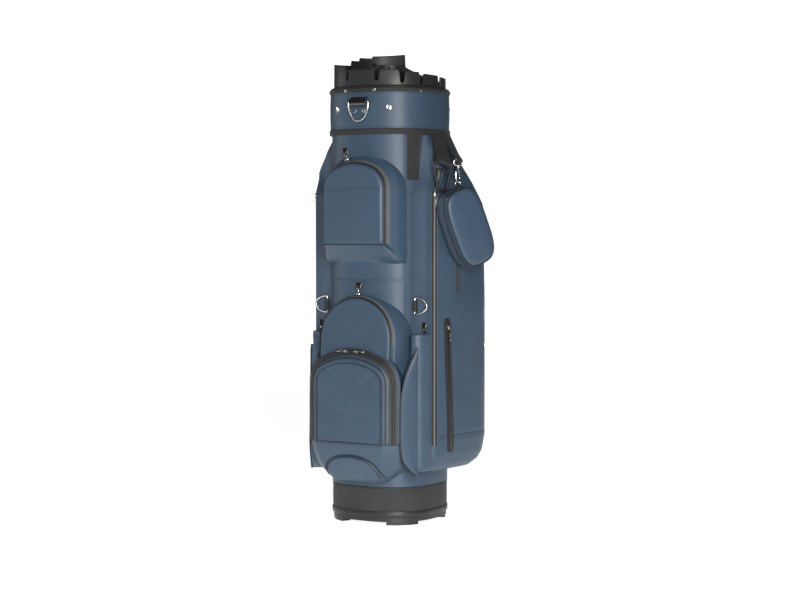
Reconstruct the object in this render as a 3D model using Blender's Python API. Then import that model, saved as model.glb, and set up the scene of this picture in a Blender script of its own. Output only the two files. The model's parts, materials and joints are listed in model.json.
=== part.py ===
"""Golf cart bag with an organiser top, eight pockets, rings, zips, a towel hook and a hanging valuables pouch.

Frame: +Z up, origin on the ground under the middle of the base, front pockets face -Y. Units are metres.
Angles round the bag are measured from the front (-Y) towards the right-hand side (+X).
"""

import math

import bmesh
import bpy
from mathutils import Matrix, Vector

# ---- Driving dimensions ------------------------------------------------------------------------------------
GAP = 0.0004                 # clearance between neighbouring pieces
SQUARENESS = 2.6             # exponent of the superellipse that every horizontal section follows
RING_POINTS = 48             # points round a full section

SHELL_HALF = 0.1025          # half width of the tube that everything is sewn to
SHELL_WALL = 0.0025
SHELL_BOTTOM, SHELL_TOP = 0.072, 0.8125

FOOT_HEIGHT = 0.006
BASE_HALF = 0.1005
PAN_HALF = 0.0975
PAN_WALL = 0.003
PAN_FLOOR_TOP, PAN_TOP = 0.014, 0.095
BAND_BOTTOM, BAND_TOP = 0.0152, 0.0714
BAND_HALF, BAND_WALL = 0.1015, 0.0032
PAD_HALF, PAD_TOP = 0.086, 0.022

CUFF_BOTTOM, CUFF_TOP = 0.7394, 0.8056
CUFF_HALF, CUFF_WALL = 0.1052, 0.0022
BINDING_HALF, BINDING_WALL = 0.1068, 0.0038
LOWER_BINDING = (0.7280, 0.7390)
UPPER_BINDING = (0.8060, 0.8140)

ORGANISER_HALF, ORGANISER_WALL = 0.0990, 0.0030
ORGANISER_BOTTOM = 0.7450
HUB_RADIUS, HUB_WALL, HUB_TOP = 0.0300, 0.0026, 0.8620
WEB_THICKNESS, WEB_TOP_DROP = 0.0024, 0.0100
NOTCH_TOP_ANGLE, NOTCH_FOOT_ANGLE, NOTCH_DEPTH = 3.6, 1.6, 0.0200
WEB_ANGLES = (0.0, 31.0, 56.5, 84.0, 117.5, 151.5, 193.6, 230.6, 260.7, 292.0, 325.5)
# The rim climbs in a spiral. Each entry is (angle where a stretch starts, its height there, its height at its end).
RIM_STRETCHES = (
    (-166.4, 0.8920, 0.8890), (-129.4, 0.8850, 0.8845), (-113.0, 0.8780, 0.8776), (-99.3, 0.8680, 0.8640),
    (-52.0, 0.8600, 0.8570), (-20.0, 0.8500, 0.8490), (17.5, 0.8480, 0.8475), (44.0, 0.8445, 0.8435),
    (66.5, 0.8415, 0.8405), (100.0, 0.8390, 0.8375), (135.0, 0.8360, 0.8345), (168.0, 0.8330, 0.8320),
)
NOTCH_ANGLES = (-52.0, -20.0, 17.5, 44.0, 66.5, 100.0, 135.0, 168.0)

STAY_RADIUS, STAY_X, STAY_Y = 0.0025, 0.0895, 0.0
DIVIDER_THICKNESS = 0.0016
DIVIDER_BOTTOM, DIVIDER_TOP = PAD_TOP + GAP, ORGANISER_BOTTOM - GAP

# Front pockets. A basket arch is (half width, bottom, top, corner radius, crown radius), and depth is how far the
# face stands in front of the axis.
UPPER_DEPTH = 0.1320
UPPER_ARCH = (0.0710, 0.5150, 0.6800, 0.0500, 0.1000)
UPPER_SLIDER_REST = -11.4    # degrees from the top of the arch to where the slider is parked
UPPER_GUSSET_BOTTOM = 0.4880
LOWER_RADIUS, LOWER_SPRING = 0.0800, 0.3480
LOWER_FACE_SLOPE = 0.0600    # how much the lower pocket's face leans back as it climbs
LOWER_TOP_DEPTH = 0.1205
COOLER_BACK, COOLER_DEPTH = 0.1268, 0.1490
COOLER_ARCH = (0.1000, 0.1570, 0.3340, 0.0550, 0.1500)
COOLER_FLANK = 0.0890        # the half width behind the flare
COOLER_FLARE = 0.1030        # distance in front of the axis where the flank starts to flare
TEE_DEPTH = 0.1420
ARCH_STEPS = 6

# Garment pockets on both sides, and the sleeves in the corners in front of them.
GARMENT_BOTTOM, GARMENT_SHOULDER, GARMENT_TOP = 0.1020, 0.6100, 0.7270
GARMENT_FRONT_Y = -0.0620
SLEEVE_BOTTOM, SLEEVE_TOP, SLEEVE_WALL = 0.1040, 0.3580, 0.0030

ZIP_THICKNESS = 0.0016
SLIDER_SIZE = (0.0095, 0.0070, 0.0030)     # along the zip, across it, and its height
WIRE = 0.0018                # radius of the ring wire
WEBBING = 0.0016             # thickness of the webbing


# ---- Scene, materials and mesh helpers ---------------------------------------------------------------------
def clear_scene():
    for item in list(bpy.data.objects):
        bpy.data.objects.remove(item, do_unlink=True)


def make_material(name, colour, roughness, metallic=0.0):
    material = bpy.data.materials.new(name)
    material.use_nodes = True
    shader = material.node_tree.nodes["Principled BSDF"]
    shader.inputs["Base Color"].default_value = (*colour, 1.0)
    shader.inputs["Roughness"].default_value = roughness
    shader.inputs["Metallic"].default_value = metallic
    return material


def add_object(name, mesh, material, parent=None, smooth=True):
    """Links the mesh as a named object. With a parent, the object keeps its place in the world."""
    item = bpy.data.objects.new(name, mesh)
    bpy.context.scene.collection.objects.link(item)
    mesh.materials.append(material)
    if smooth:
        mesh.shade_smooth()
        mesh.set_sharp_from_angle(angle=math.radians(35))
    if parent is not None:
        bpy.context.view_layer.update()
        item.parent = parent
        item.matrix_parent_inverse = parent.matrix_world.inverted()
    return item


def mesh_from(name, points, faces):
    mesh = bpy.data.meshes.new(name)
    mesh.from_pydata([tuple(p) for p in points], [], faces)
    mesh.validate()
    shell = bmesh.new()
    shell.from_mesh(mesh)
    bmesh.ops.recalc_face_normals(shell, faces=shell.faces)
    shell.to_mesh(mesh)
    shell.free()
    mesh.update()
    return mesh


def strip(first, second, count, closed=True):
    """Quads that join two loops of the same count, whose vertices start at first and second."""
    last = count if closed else count - 1
    return [(first + i, first + (i + 1) % count, second + (i + 1) % count, second + i) for i in range(last)]


def loft_mesh(name, loops):
    """A closed solid through a stack of loops, each anticlockwise seen from the end of the stack."""
    count = len(loops[0])
    points = [p for loop in loops for p in loop]
    faces = [tuple(reversed(range(count)))]
    for k in range(len(loops) - 1):
        faces += strip(k * count, (k + 1) * count, count)
    faces.append(tuple(range((len(loops) - 1) * count, len(loops) * count)))
    return mesh_from(name, points, faces)


def tube_mesh(name, outer_loops, inner_loops):
    """A ring: the outer skin climbs through outer_loops, and the inner skin comes down through inner_loops."""
    loops = list(outer_loops) + list(inner_loops)
    count = len(loops[0])
    points = [p for loop in loops for p in loop]
    faces = []
    for k in range(len(loops)):
        faces += strip(k * count, (k + 1) % len(loops) * count, count)
    return mesh_from(name, points, faces)


def cup_mesh(name, outer, inner, bottom, floor, top):
    """An open-topped cup with vertical walls, from its plan outlines."""
    loops = [at_height(outer, bottom), at_height(outer, top), at_height(inner, top), at_height(inner, floor)]
    return loft_mesh(name, loops)


def at_height(plan, height):
    return [Vector((x, y, height)) for x, y in plan]


def section(half, count=RING_POINTS):
    """The plan outline that the tube, base, cuff and bindings share, anticlockwise from +X."""
    outline = []
    for i in range(count):
        t = 2 * math.pi * i / count
        c, s = math.cos(t), math.sin(t)
        outline.append((
            half * math.copysign(abs(c) ** (2 / SQUARENESS), c),
            half * math.copysign(abs(s) ** (2 / SQUARENESS), s),
        ))
    return outline


def rim_point(angle, half):
    """The point of the shared outline at an angle from the front, in degrees."""
    a = math.radians(angle)
    x, y = math.sin(a), -math.cos(a)
    reach = half / (abs(x) ** SQUARENESS + abs(y) ** SQUARENESS) ** (1 / SQUARENESS)
    return reach * x, reach * y


def ring_band(name, half, wall, bottom, top, material):
    outer, inner = section(half), section(half - wall)
    mesh = tube_mesh(
        name,
        [at_height(outer, bottom), at_height(outer, top)],
        [at_height(inner, top), at_height(inner, bottom)],
    )
    return add_object(name, mesh, material)


def helper(item):
    """Marks a cutter or a piece that is joined into another, so that it isn't a part by itself."""
    item.hide_render = True
    item.display_type = "WIRE"
    return item


def boolean(item, other, operation):
    modifier = item.modifiers.new(operation.title(), "BOOLEAN")
    modifier.operation = operation
    modifier.object = helper(other)
    modifier.solver = "EXACT"


def core_cutter(name, bottom, top, extra=GAP):
    """A prism a little larger than the tube, which gives a pocket its fitted back."""
    plan = section(SHELL_HALF + extra)
    return add_object(name, loft_mesh(name, [at_height(plan, bottom), at_height(plan, top)]), CUTTER)


def cuboid_mesh(name, low, high):
    plan = [(low[0], low[1]), (high[0], low[1]), (high[0], high[1]), (low[0], high[1])]
    return loft_mesh(name, [at_height(plan, low[2]), at_height(plan, high[2])])


def oriented(mesh, origin, x_axis, y_axis):
    """Places a mesh made in local axes: x_axis and y_axis are where local X and Y point."""
    x = Vector(x_axis).normalized()
    z = x.cross(Vector(y_axis)).normalized()
    y = z.cross(x)
    turn = Matrix((x, y, z)).transposed().to_4x4()
    mesh.transform(Matrix.Translation(Vector(origin)) @ turn)
    mesh.update()
    return mesh


def pivot(name, place):
    empty = bpy.data.objects.new(name, None)
    empty.location = place
    bpy.context.scene.collection.objects.link(empty)
    return empty


def wire_loop_mesh(name, path, radius, sides=6):
    """A closed ring of round wire along a flat closed path in the local XY plane."""
    count = len(path)
    loops = []
    for k in range(sides):
        turn = 2 * math.pi * k / sides
        out, up = radius * math.cos(turn), radius * math.sin(turn)
        loop = []
        for i, (x, y) in enumerate(path):
            before, after = Vector(path[i - 1]), Vector(path[(i + 1) % count])
            along = (after - before).normalized()
            loop.append(Vector((x + along.y * out, y - along.x * out, up)))
        loops.append(loop)
    points = [p for loop in loops for p in loop]
    faces = []
    for k in range(sides):
        faces += strip(k * count, (k + 1) % sides * count, count)
    return mesh_from(name, points, faces)


def d_path(width, height, steps=10):
    """A D: a straight bar on the local Y axis, and a bow that reaches width to +X."""
    path = [(0.0, height / 2), (0.0, -height / 2)]
    for k in range(1, steps):
        turn = math.pi * (k / steps - 0.5)
        path.append((width * math.cos(turn), height / 2 * math.sin(turn)))
    return path


# ---- Base ---------------------------------------------------------------------------------------------------
def make_base():
    flange, pan, hollow = section(BASE_HALF), section(PAN_HALF), section(PAN_HALF - PAN_WALL)
    loops = [
        at_height(flange, FOOT_HEIGHT), at_height(flange, PAN_FLOOR_TOP), at_height(pan, PAN_FLOOR_TOP + 0.0006),
        at_height(pan, PAN_TOP), at_height(hollow, PAN_TOP), at_height(hollow, PAN_FLOOR_TOP),
    ]
    base = add_object("base_pan", loft_mesh("base_pan", loops), MOULDING)
    for corner in (45, 135, 225, 315):
        outline = [rim_point(corner + turn, BASE_HALF - 0.001) for turn in (-17, -6, 6, 17)]
        inner = [rim_point(corner + turn, BASE_HALF - 0.018) for turn in (17, 6, -6, -17)]
        name = f"foot_{corner}"
        loops = [at_height(outline + inner, 0.0), at_height(outline + inner, FOOT_HEIGHT + 0.002)]
        boolean(base, add_object(name, loft_mesh(name, loops), MOULDING), "UNION")
    disc = [(0.022 * math.cos(math.tau * i / 16), 0.022 * math.sin(math.tau * i / 16)) for i in range(16)]
    loops = [at_height(disc, 0.0), at_height(disc, FOOT_HEIGHT + 0.002)]
    boolean(base, add_object("centre_foot", loft_mesh("centre_foot", loops), MOULDING), "UNION")

    ring_band("base_band", BAND_HALF, BAND_WALL, BAND_BOTTOM, BAND_TOP, BALLISTIC)
    pad = section(PAD_HALF, 24)
    mesh = loft_mesh("base_pad", [at_height(pad, PAN_FLOOR_TOP + GAP), at_height(pad, PAD_TOP)])
    add_object("base_pad", mesh, FOAM)


# ---- Tube, cuff and the parts inside --------------------------------------------------------------------------
def make_tube():
    ring_band("body_shell", SHELL_HALF, SHELL_WALL, SHELL_BOTTOM, SHELL_TOP, SKIN)
    ring_band("cuff_panel", CUFF_HALF, CUFF_WALL, CUFF_BOTTOM, CUFF_TOP, SKIN)
    ring_band("cuff_lower_binding", BINDING_HALF, BINDING_WALL, *LOWER_BINDING, BINDING)
    ring_band("cuff_upper_binding", BINDING_HALF, BINDING_WALL, *UPPER_BINDING, BINDING)
    for side, x in (("left", -STAY_X), ("right", STAY_X)):
        plan = [
            (x + STAY_RADIUS * math.cos(math.tau * i / 10), STAY_Y + STAY_RADIUS * math.sin(math.tau * i / 10))
            for i in range(10)
        ]
        name = f"{side}_stay"
        heights = (PAN_FLOOR_TOP + GAP, ORGANISER_BOTTOM - GAP)
        add_object(name, loft_mesh(name, [at_height(plan, z) for z in heights]), ALUMINIUM)


def radial_slab(name, angle, start, end, thickness, bottom, top_start, top_end):
    """An upright panel along a radius, from start to end, whose top runs from top_start to top_end."""
    a = math.radians(angle)
    out = Vector((math.sin(a), -math.cos(a), 0))
    side = Vector((out.y, -out.x, 0)) * thickness / 2
    foot = [out * start - side, out * end - side, out * end + side, out * start + side]
    heights = (top_start, top_end, top_end, top_start)
    low = [p + Vector((0, 0, bottom)) for p in foot]
    high = [p + Vector((0, 0, h)) for p, h in zip(foot, heights)]
    loops = [low, high]
    x, y = foot[1] - foot[0], foot[2] - foot[1]
    if x.cross(y).z < 0:
        loops = [list(reversed(low)), list(reversed(high))]
    return loft_mesh(name, loops)


def make_dividers():
    """Full-length fabric panels that carry three of the organiser's walls down to the base."""
    reach = PAD_HALF * 0.985
    walls = {"front_divider": 0.0, "right_divider": 117.5, "left_divider": 230.6}
    for name, angle in walls.items():
        mesh = radial_slab(
            name, angle, 0.004, reach, DIVIDER_THICKNESS, DIVIDER_BOTTOM, DIVIDER_TOP, DIVIDER_TOP,
        )
        add_object(name, mesh, LINING)


def rim_height(angle):
    """The rim's height at an angle, following the spiral's stretches."""
    angle = (angle + 166.4) % 360 - 166.4
    ends = [s[0] for s in RIM_STRETCHES[1:]] + [RIM_STRETCHES[0][0] + 360]
    for (start, first, last), end in zip(RIM_STRETCHES, ends):
        if start <= angle < end:
            return first + (last - first) * (angle - start) / (end - start)
    return RIM_STRETCHES[-1][2]


def rim_profile():
    """(angle, height) all the way round: the spiral's steps and the notches where the club shafts rest."""
    edge = 0.25
    profile = []
    for turn in range(-165, 195, 10):
        if all(abs(turn - notch) > NOTCH_TOP_ANGLE + 1.5 for notch in NOTCH_ANGLES):
            profile.append((float(turn), rim_height(turn)))
    for start, _, _ in RIM_STRETCHES:
        if start not in NOTCH_ANGLES:
            profile += [(start - edge, rim_height(start - edge)), (start + edge, rim_height(start + edge))]
    for notch in NOTCH_ANGLES:
        foot = min(rim_height(notch - NOTCH_TOP_ANGLE), rim_height(notch + NOTCH_TOP_ANGLE)) - NOTCH_DEPTH
        for turn, height in (
            (-NOTCH_TOP_ANGLE, rim_height(notch - NOTCH_TOP_ANGLE)), (-NOTCH_FOOT_ANGLE, foot),
            (NOTCH_FOOT_ANGLE, foot), (NOTCH_TOP_ANGLE, rim_height(notch + NOTCH_TOP_ANGLE)),
        ):
            profile.append((notch + turn, height))
    return sorted((angle % 360, height) for angle, height in profile)


def make_organiser():
    profile = rim_profile()
    outer = [rim_point(angle, ORGANISER_HALF) for angle, _ in profile]
    inner = [rim_point(angle, ORGANISER_HALF - ORGANISER_WALL) for angle, _ in profile]
    heights = [height for _, height in profile]
    loops = [
        at_height(outer, ORGANISER_BOTTOM),
        [Vector((x, y, h)) for (x, y), h in zip(outer, heights)],
        [Vector((x, y, h)) for (x, y), h in zip(inner, heights)],
        at_height(inner, ORGANISER_BOTTOM),
    ]
    points = [p for loop in loops for p in loop]
    count = len(profile)
    faces = []
    for k in range(4):
        faces += strip(k * count, (k + 1) % 4 * count, count)
    rim = add_object("organiser_top", mesh_from("organiser_top", points, faces), MOULDING)

    hub_outer = [(HUB_RADIUS * math.cos(math.tau * i / 22), HUB_RADIUS * math.sin(math.tau * i / 22)) for i in range(22)]
    scale = 1 - HUB_WALL / HUB_RADIUS
    hub_inner = [(x * scale, y * scale) for x, y in hub_outer]
    mesh = tube_mesh(
        "hub",
        [at_height(hub_outer, ORGANISER_BOTTOM), at_height(hub_outer, HUB_TOP)],
        [at_height(hub_inner, HUB_TOP), at_height(hub_inner, ORGANISER_BOTTOM)],
    )
    boolean(rim, add_object("hub", mesh, MOULDING), "UNION")
    for index, angle in enumerate(WEB_ANGLES):
        x, y = rim_point(angle, ORGANISER_HALF - ORGANISER_WALL / 2)
        top = min(rim_height(angle - 0.6), rim_height(angle + 0.6)) - WEB_TOP_DROP
        if angle == 193.6:
            top = rim_height(angle + 0.6) - 0.001
        name = f"web_{index}"
        mesh = radial_slab(
            name, angle, HUB_RADIUS - HUB_WALL / 2, math.hypot(x, y), WEB_THICKNESS,
            ORGANISER_BOTTOM + 0.0015, HUB_TOP - 0.002, top,
        )
        boolean(rim, add_object(name, mesh, MOULDING), "UNION")


# ---- Front pockets --------------------------------------------------------------------------------------------
def basket_arch(half, bottom, top, corner, crown, inset=0.0):
    """Outline of an arched panel in (x, z), anticlockwise seen from the front, with its sides inset."""
    shoulder = half - corner
    reach = crown - corner
    lean = math.asin(shoulder / reach) if reach > 0 else 0.0
    crown_z, corner_z = top - crown, top - crown + reach * math.cos(lean)
    corner, crown, half = corner - inset, crown - inset, half - inset
    right = [(half, corner_z)]
    for k in range(1, ARCH_STEPS + 1):
        turn = math.pi / 2 - (math.pi / 2 - lean) * k / ARCH_STEPS
        right.append((shoulder + corner * math.sin(turn), corner_z + corner * math.cos(turn)))
    for k in range(1, 3):
        turn = lean * (1 - k / 3)
        right.append((crown * math.sin(turn), crown_z + crown * math.cos(turn)))
    left = [(-x, z) for x, z in reversed(right)]
    return [(-half, bottom), (half, bottom)] + right + [(0.0, crown_z + crown)] + left


def facing(outline, depth):
    """Stands an (x, z) outline up at a distance in front of the axis. depth may be a function of the height."""
    return [Vector((x, -(depth(z) if callable(depth) else depth), z)) for x, z in outline]


def lower_face(z):
    """Distance of the lower pocket's leaning face in front of the axis, at a height."""
    return LOWER_TOP_DEPTH + LOWER_FACE_SLOPE * (LOWER_SPRING + LOWER_RADIUS - z)


def lower_arch(bottom, inset=0.0):
    """The lower pocket's outline: a true half circle in its leaning plane, on straight sides."""
    radius = LOWER_RADIUS - inset
    lean = 1 / math.hypot(1, LOWER_FACE_SLOPE)
    outline = [(-radius, bottom), (radius, bottom)]
    for k in range(17):
        turn = math.pi * k / 16
        outline.append((radius * math.cos(turn), LOWER_SPRING + radius * lean * math.sin(turn)))
    return outline


def cooler_outline(half, inset=0.0):
    """The cooler's whole outline: its arch above, and the rounded corners of the yoke below."""
    _, _, top, corner, crown = COOLER_ARCH
    arch = basket_arch(half, 0.1530, top, corner, crown, inset)[1:]
    side = half - inset
    right = [(side - 0.0280, 0.0985 + inset * 0.7), (side - 0.0160, 0.1060 + inset * 0.5), (side - 0.0030, 0.1240)]
    return [(-x, z) for x, z in reversed(right)] + right + arch + [(-side, 0.1530)]


def make_front_pockets():
    half, bottom, top, corner, crown = UPPER_ARCH
    back = basket_arch(half, UPPER_GUSSET_BOTTOM, top, corner, crown)
    loops = [
        facing(back, 0.0500), facing(back, 0.1060),
        facing(basket_arch(*UPPER_ARCH), UPPER_DEPTH - 0.0060),
        facing(basket_arch(half, bottom + 0.0080, top, corner, crown, 0.0020), UPPER_DEPTH - 0.0015),
        facing(basket_arch(half, bottom + 0.0120, top, corner, crown, 0.0055), UPPER_DEPTH),
    ]
    upper = add_object("upper_pocket", loft_mesh("upper_pocket", loops), SKIN)
    boolean(upper, core_cutter("upper_pocket_back", 0.40, 0.75), "DIFFERENCE")

    outline = lower_arch(0.0960)
    loops = [
        facing(outline, 0.0500), facing(outline, lambda z: min(lower_face(z), COOLER_BACK) - 0.0040),
        facing(lower_arch(0.1000, 0.0040), lambda z: min(lower_face(z), COOLER_BACK) - GAP),
    ]
    lower = add_object("lower_pocket", loft_mesh("lower_pocket", loops), SKIN)
    boolean(lower, core_cutter("lower_pocket_back", 0.05, 0.50), "DIFFERENCE")

    half, bottom = COOLER_ARCH[:2]
    loops = [facing(cooler_outline(COOLER_FLANK), depth) for depth in (0.0600, COOLER_FLARE)]
    loops.append(facing(cooler_outline(half), COOLER_BACK))
    for inset, depth in ((0.0210, COOLER_DEPTH - 0.0020), (0.0300, COOLER_DEPTH)):
        loops.append([Vector((p.x, p.y, max(p.z, bottom + (inset - 0.0210) * 0.4 + 0.0002 * p.z)))
                      for p in facing(cooler_outline(half, inset), depth)])
    cooler = add_object("cooler_pocket", loft_mesh("cooler_pocket", loops), SKIN)
    room = LOWER_RADIUS + GAP
    mesh = cuboid_mesh("cooler_back_a", (-room, -COOLER_BACK, 0.05), (room, 0.0, 0.40))
    boolean(cooler, add_object("cooler_back_a", mesh, CUTTER), "DIFFERENCE")
    boolean(cooler, core_cutter("cooler_back_b", 0.05, 0.50), "DIFFERENCE")
    mesh = cuboid_mesh("tee_room", (-0.0625, -0.2000, 0.0500), (0.0625, -COOLER_BACK + GAP, 0.1425))
    boolean(cooler, add_object("tee_room", mesh, CUTTER), "DIFFERENCE")

    loops = [
        facing([(-0.0600, 0.0975), (0.0600, 0.0975), (0.0620, 0.1150), (0.0470, 0.1350), (0.0250, 0.1420),
                (-0.0250, 0.1420), (-0.0470, 0.1350), (-0.0620, 0.1150)], COOLER_BACK),
        facing([(-0.0560, 0.1000), (0.0560, 0.1000), (0.0580, 0.1150), (0.0440, 0.1320), (0.0240, 0.1385),
                (-0.0240, 0.1385), (-0.0440, 0.1320), (-0.0580, 0.1150)], TEE_DEPTH),
    ]
    add_object("tee_pocket", loft_mesh("tee_pocket", loops), SKIN)


# ---- Side pockets ---------------------------------------------------------------------------------------------
GARMENT_OUTLINE = (
    (0.0700, GARMENT_FRONT_Y), (0.1200, GARMENT_FRONT_Y), (0.1270, -0.0600), (0.1360, -0.0470), (0.1490, -0.0050),
    (0.1560, 0.0500), (0.1570, 0.0780), (0.1510, 0.0990), (0.1380, 0.1120), (0.1200, 0.1170), (0.0880, 0.1150),
    (0.0700, 0.0900), (0.0600, 0.0200),
)
FRONT_EDGE_POINTS = 4        # the first points of the outline, which carry the long zip
# (height, how far the flank has swollen, how far the front edge has): 0 lies on the tube, and 1 is the full pocket
GARMENT_ROWS = (
    (GARMENT_BOTTOM, 0.55, 0.60), (0.1130, 0.78, 0.85), (0.1300, 0.92, 1.0), (0.1600, 1.0, 1.0), (0.4200, 1.0, 1.0),
    (0.6000, 0.94, 1.0), (0.6400, 0.64, 1.0), (0.6650, 0.42, 1.0), (0.7000, 0.14, 0.55), (GARMENT_TOP, 0.04, 0.04),
)
ZIP_EDGE, FLANK, REAR_FLANK = 2, 3, 4      # which side of the outline a zip lies on


def garment_plan(swell, front):
    """Plan outline of the right garment pocket."""
    plan = []
    for index, (x, y) in enumerate(GARMENT_OUTLINE):
        angle = math.degrees(math.atan2(x, -y))
        near_x, near_y = rim_point(angle, SHELL_HALF + 0.0035)
        if math.hypot(x, y) < math.hypot(near_x, near_y):
            near_x, near_y = x, y
        share = front if index < FRONT_EDGE_POINTS else swell
        plan.append((near_x + (x - near_x) * share, near_y + (y - near_y) * share))
    return plan


def garment_point(height, side, share, lift):
    """A point on the pocket's flank: along one side of its outline by share, lifted off along the normal."""
    rows = GARMENT_ROWS
    row = max(i for i in range(len(rows) - 1) if rows[i][0] <= height)
    low, high = rows[row], rows[row + 1]
    t = (height - low[0]) / (high[0] - low[0])
    below, above = garment_plan(*low[1:]), garment_plan(*high[1:])
    ends = [Vector(below[i]).lerp(Vector(above[i]), t) for i in (side, side + 1)]
    run = (ends[1] - ends[0]).normalized()
    spot = ends[0].lerp(ends[1], share)
    return Vector((spot.x + run.y * lift, spot.y - run.x * lift, height))


def mirrored(mesh):
    """The same mesh on the left-hand side of the bag."""
    mesh.transform(Matrix.Scale(-1, 4, Vector((1, 0, 0))))
    mesh.flip_normals()
    return mesh


def make_side_pockets():
    for side in ("right", "left"):
        name = f"{side}_garment_pocket"
        mesh = loft_mesh(name, [at_height(garment_plan(swell, front), z) for z, swell, front in GARMENT_ROWS])
        pocket = add_object(name, mesh if side == "right" else mirrored(mesh), SKIN)
        boolean(pocket, core_cutter(f"{side}_garment_back", 0.05, 0.78), "DIFFERENCE")

        outer = [(0.0926, -0.0626), (0.0926, -0.0930), (0.1000, -0.0975), (0.1110, -0.0950), (0.1210, -0.0850),
                 (0.1270, -0.0720), (0.1280, -0.0626)]
        middle = Vector((0.1080, -0.0770))
        inner = []
        for x, y in outer:
            inward = middle - Vector((x, y))
            inner.append(tuple(Vector((x, y)) + inward.normalized() * SLEEVE_WALL * 1.35))
        name = f"{side}_umbrella_sleeve"
        mesh = cup_mesh(name, outer, inner, SLEEVE_BOTTOM, SLEEVE_BOTTOM + 0.003, SLEEVE_TOP)
        add_object(name, mesh if side == "right" else mirrored(mesh), SKIN)


# ---- Zips -----------------------------------------------------------------------------------------------------
def arch_zip(name, outer, inner, near, far):
    """A zip tape: an arched strip whose outer and inner edges are open outlines, between two depths."""
    edge, back = outer[1:] + outer[:1], inner[1:] + inner[:1]
    loops = [facing(edge, far), facing(edge, near), facing(back, near), facing(back, far)]
    count = len(edge)
    points = [p for loop in loops for p in loop]
    faces = []
    for k in range(4):
        faces += strip(k * count, (k + 1) % 4 * count, count, closed=False)
    faces += [(0, count, 2 * count, 3 * count), tuple((k + 1) * count - 1 for k in (3, 2, 1, 0))]
    return add_object(name, mesh_from(name, points, faces), BINDING)


def make_slider(name, place, along, normal, pull_along, pull_length, parent_pivot, pull_width=0.0080, turned=False):
    """A zip slider on the tape at place, and the pull that turns on it. A turned pull faces along the zip's axis."""
    place, along, normal = Vector(place), Vector(along).normalized(), Vector(normal).normalized()
    across = normal.cross(along)
    length, width, height = SLIDER_SIZE
    plan = [(-length / 2, -width / 3), (-length / 4, -width / 2), (length / 4, -width / 2), (length / 2, -width / 3),
            (length / 2, width / 3), (length / 4, width / 2), (-length / 4, width / 2), (-length / 2, width / 3)]
    mesh = loft_mesh(name, [at_height(plan, GAP), at_height(plan, height)])
    slider = add_object(name, oriented(mesh, place, along, across), STEEL, parent_pivot)
    axle = place + normal * (height + GAP + 0.0010)
    hinge = pivot(f"{name}_pull_hinge", axle)
    hinge.parent = slider
    hinge.matrix_parent_inverse = slider.matrix_world.inverted()
    pull = f"{name.replace('_slider', '')}_pull"
    half, thick = pull_width / 2, 0.0009
    outline = [(-0.0009, -half * 0.45), (pull_length * 0.35, -half * 0.5), (pull_length * 0.5, -half),
               (pull_length * 0.93, -half), (pull_length, -half * 0.6), (pull_length, half * 0.6),
               (pull_length * 0.93, half), (pull_length * 0.5, half), (pull_length * 0.35, half * 0.5),
               (-0.0009, half * 0.45)]
    mesh = loft_mesh(pull, [at_height(outline, -thick), at_height(outline, thick)])
    pull_along = Vector(pull_along).normalized()
    add_object(pull, oriented(mesh, axle, pull_along, along if turned else across), PATENT if turned else STEEL,
               hinge)
    return slider


def make_zips():
    half, bottom, top, corner, crown = UPPER_ARCH
    shape = (half, 0.5400, top, corner, crown)
    near, far = UPPER_DEPTH - 0.0075, UPPER_DEPTH - 0.0175
    arch_zip("upper_zip", basket_arch(*shape, -GAP - ZIP_THICKNESS), basket_arch(*shape, -GAP), near, far)
    centre = pivot("upper_zip_centre", (0, -(near + far) / 2, top - crown))
    turn = math.radians(UPPER_SLIDER_REST)
    radial, reach = Vector((math.sin(turn), 0, math.cos(turn))), crown + GAP + ZIP_THICKNESS
    place = Vector((0, -(near + far) / 2, top - crown)) + radial * reach
    make_slider("upper_slider", place, (math.cos(turn), 0, -math.sin(turn)), radial, radial, 0.0160, centre, 0.0110,
                turned=True)

    outer, inner = lower_arch(0.3360, -GAP - ZIP_THICKNESS), lower_arch(0.3360, -GAP)
    arch_zip("lower_zip", outer, inner, lambda z: lower_face(z) - 0.0050, lambda z: lower_face(z) - 0.0130)
    lean = Vector((0, LOWER_FACE_SLOPE, 1)).normalized()
    middle = Vector((0, -(lower_face(LOWER_SPRING) - 0.0090), LOWER_SPRING))
    centre = pivot("lower_zip_centre", middle)
    make_slider("lower_slider", middle + lean * (LOWER_RADIUS + GAP + ZIP_THICKNESS), (1, 0, 0), lean, lean,
                0.0170, centre, 0.0110, turned=True)


FLANK_ZIPS = {                # name: (side of the outline, (height, middle, half width as shares) from the bottom up)
    "garment_zip": (ZIP_EDGE, ((0.1640, 0.5, 0.27), (0.6600, 0.5, 0.27))),
    "slant_zip": (FLANK, ((0.1350, 0.72, 0.10), (0.1400, 0.72, 0.19), (0.3820, 0.50, 0.19), (0.3870, 0.50, 0.10))),
    "chest_zip": (REAR_FLANK, ((0.4320, 0.10, 0.07), (0.5950, 0.14, 0.07))),
}
GARMENT_SLIDER_Z, SLANT_SLIDER_Z = 0.6160, 0.3700
FLANK_LIFT = 0.0011          # a zip's clearance over the flank, whose panels are slightly twisted


def flank_zip(name, kind):
    """A zip tape that lies on the garment pocket's flank, split where the flank bends."""
    side, stations = FLANK_ZIPS[kind]
    levels = sorted({z for z, _, _ in stations} | {r[0] for r in GARMENT_ROWS
                                                  if stations[0][0] < r[0] < stations[-1][0]})
    loops = []
    for z in levels:
        index = max(i for i in range(len(stations) - 1) if stations[i][0] <= z)
        low, high = stations[index], stations[index + 1]
        t = (z - low[0]) / (high[0] - low[0])
        middle, half = (low[i] + (high[i] - low[i]) * t for i in (1, 2))
        low_lift, high_lift = FLANK_LIFT, FLANK_LIFT + ZIP_THICKNESS
        loops.append([garment_point(z, side, middle - half, low_lift), garment_point(z, side, middle - half, high_lift),
                      garment_point(z, side, middle + half, high_lift), garment_point(z, side, middle + half, low_lift)])
    return loft_mesh(name, loops)


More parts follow.
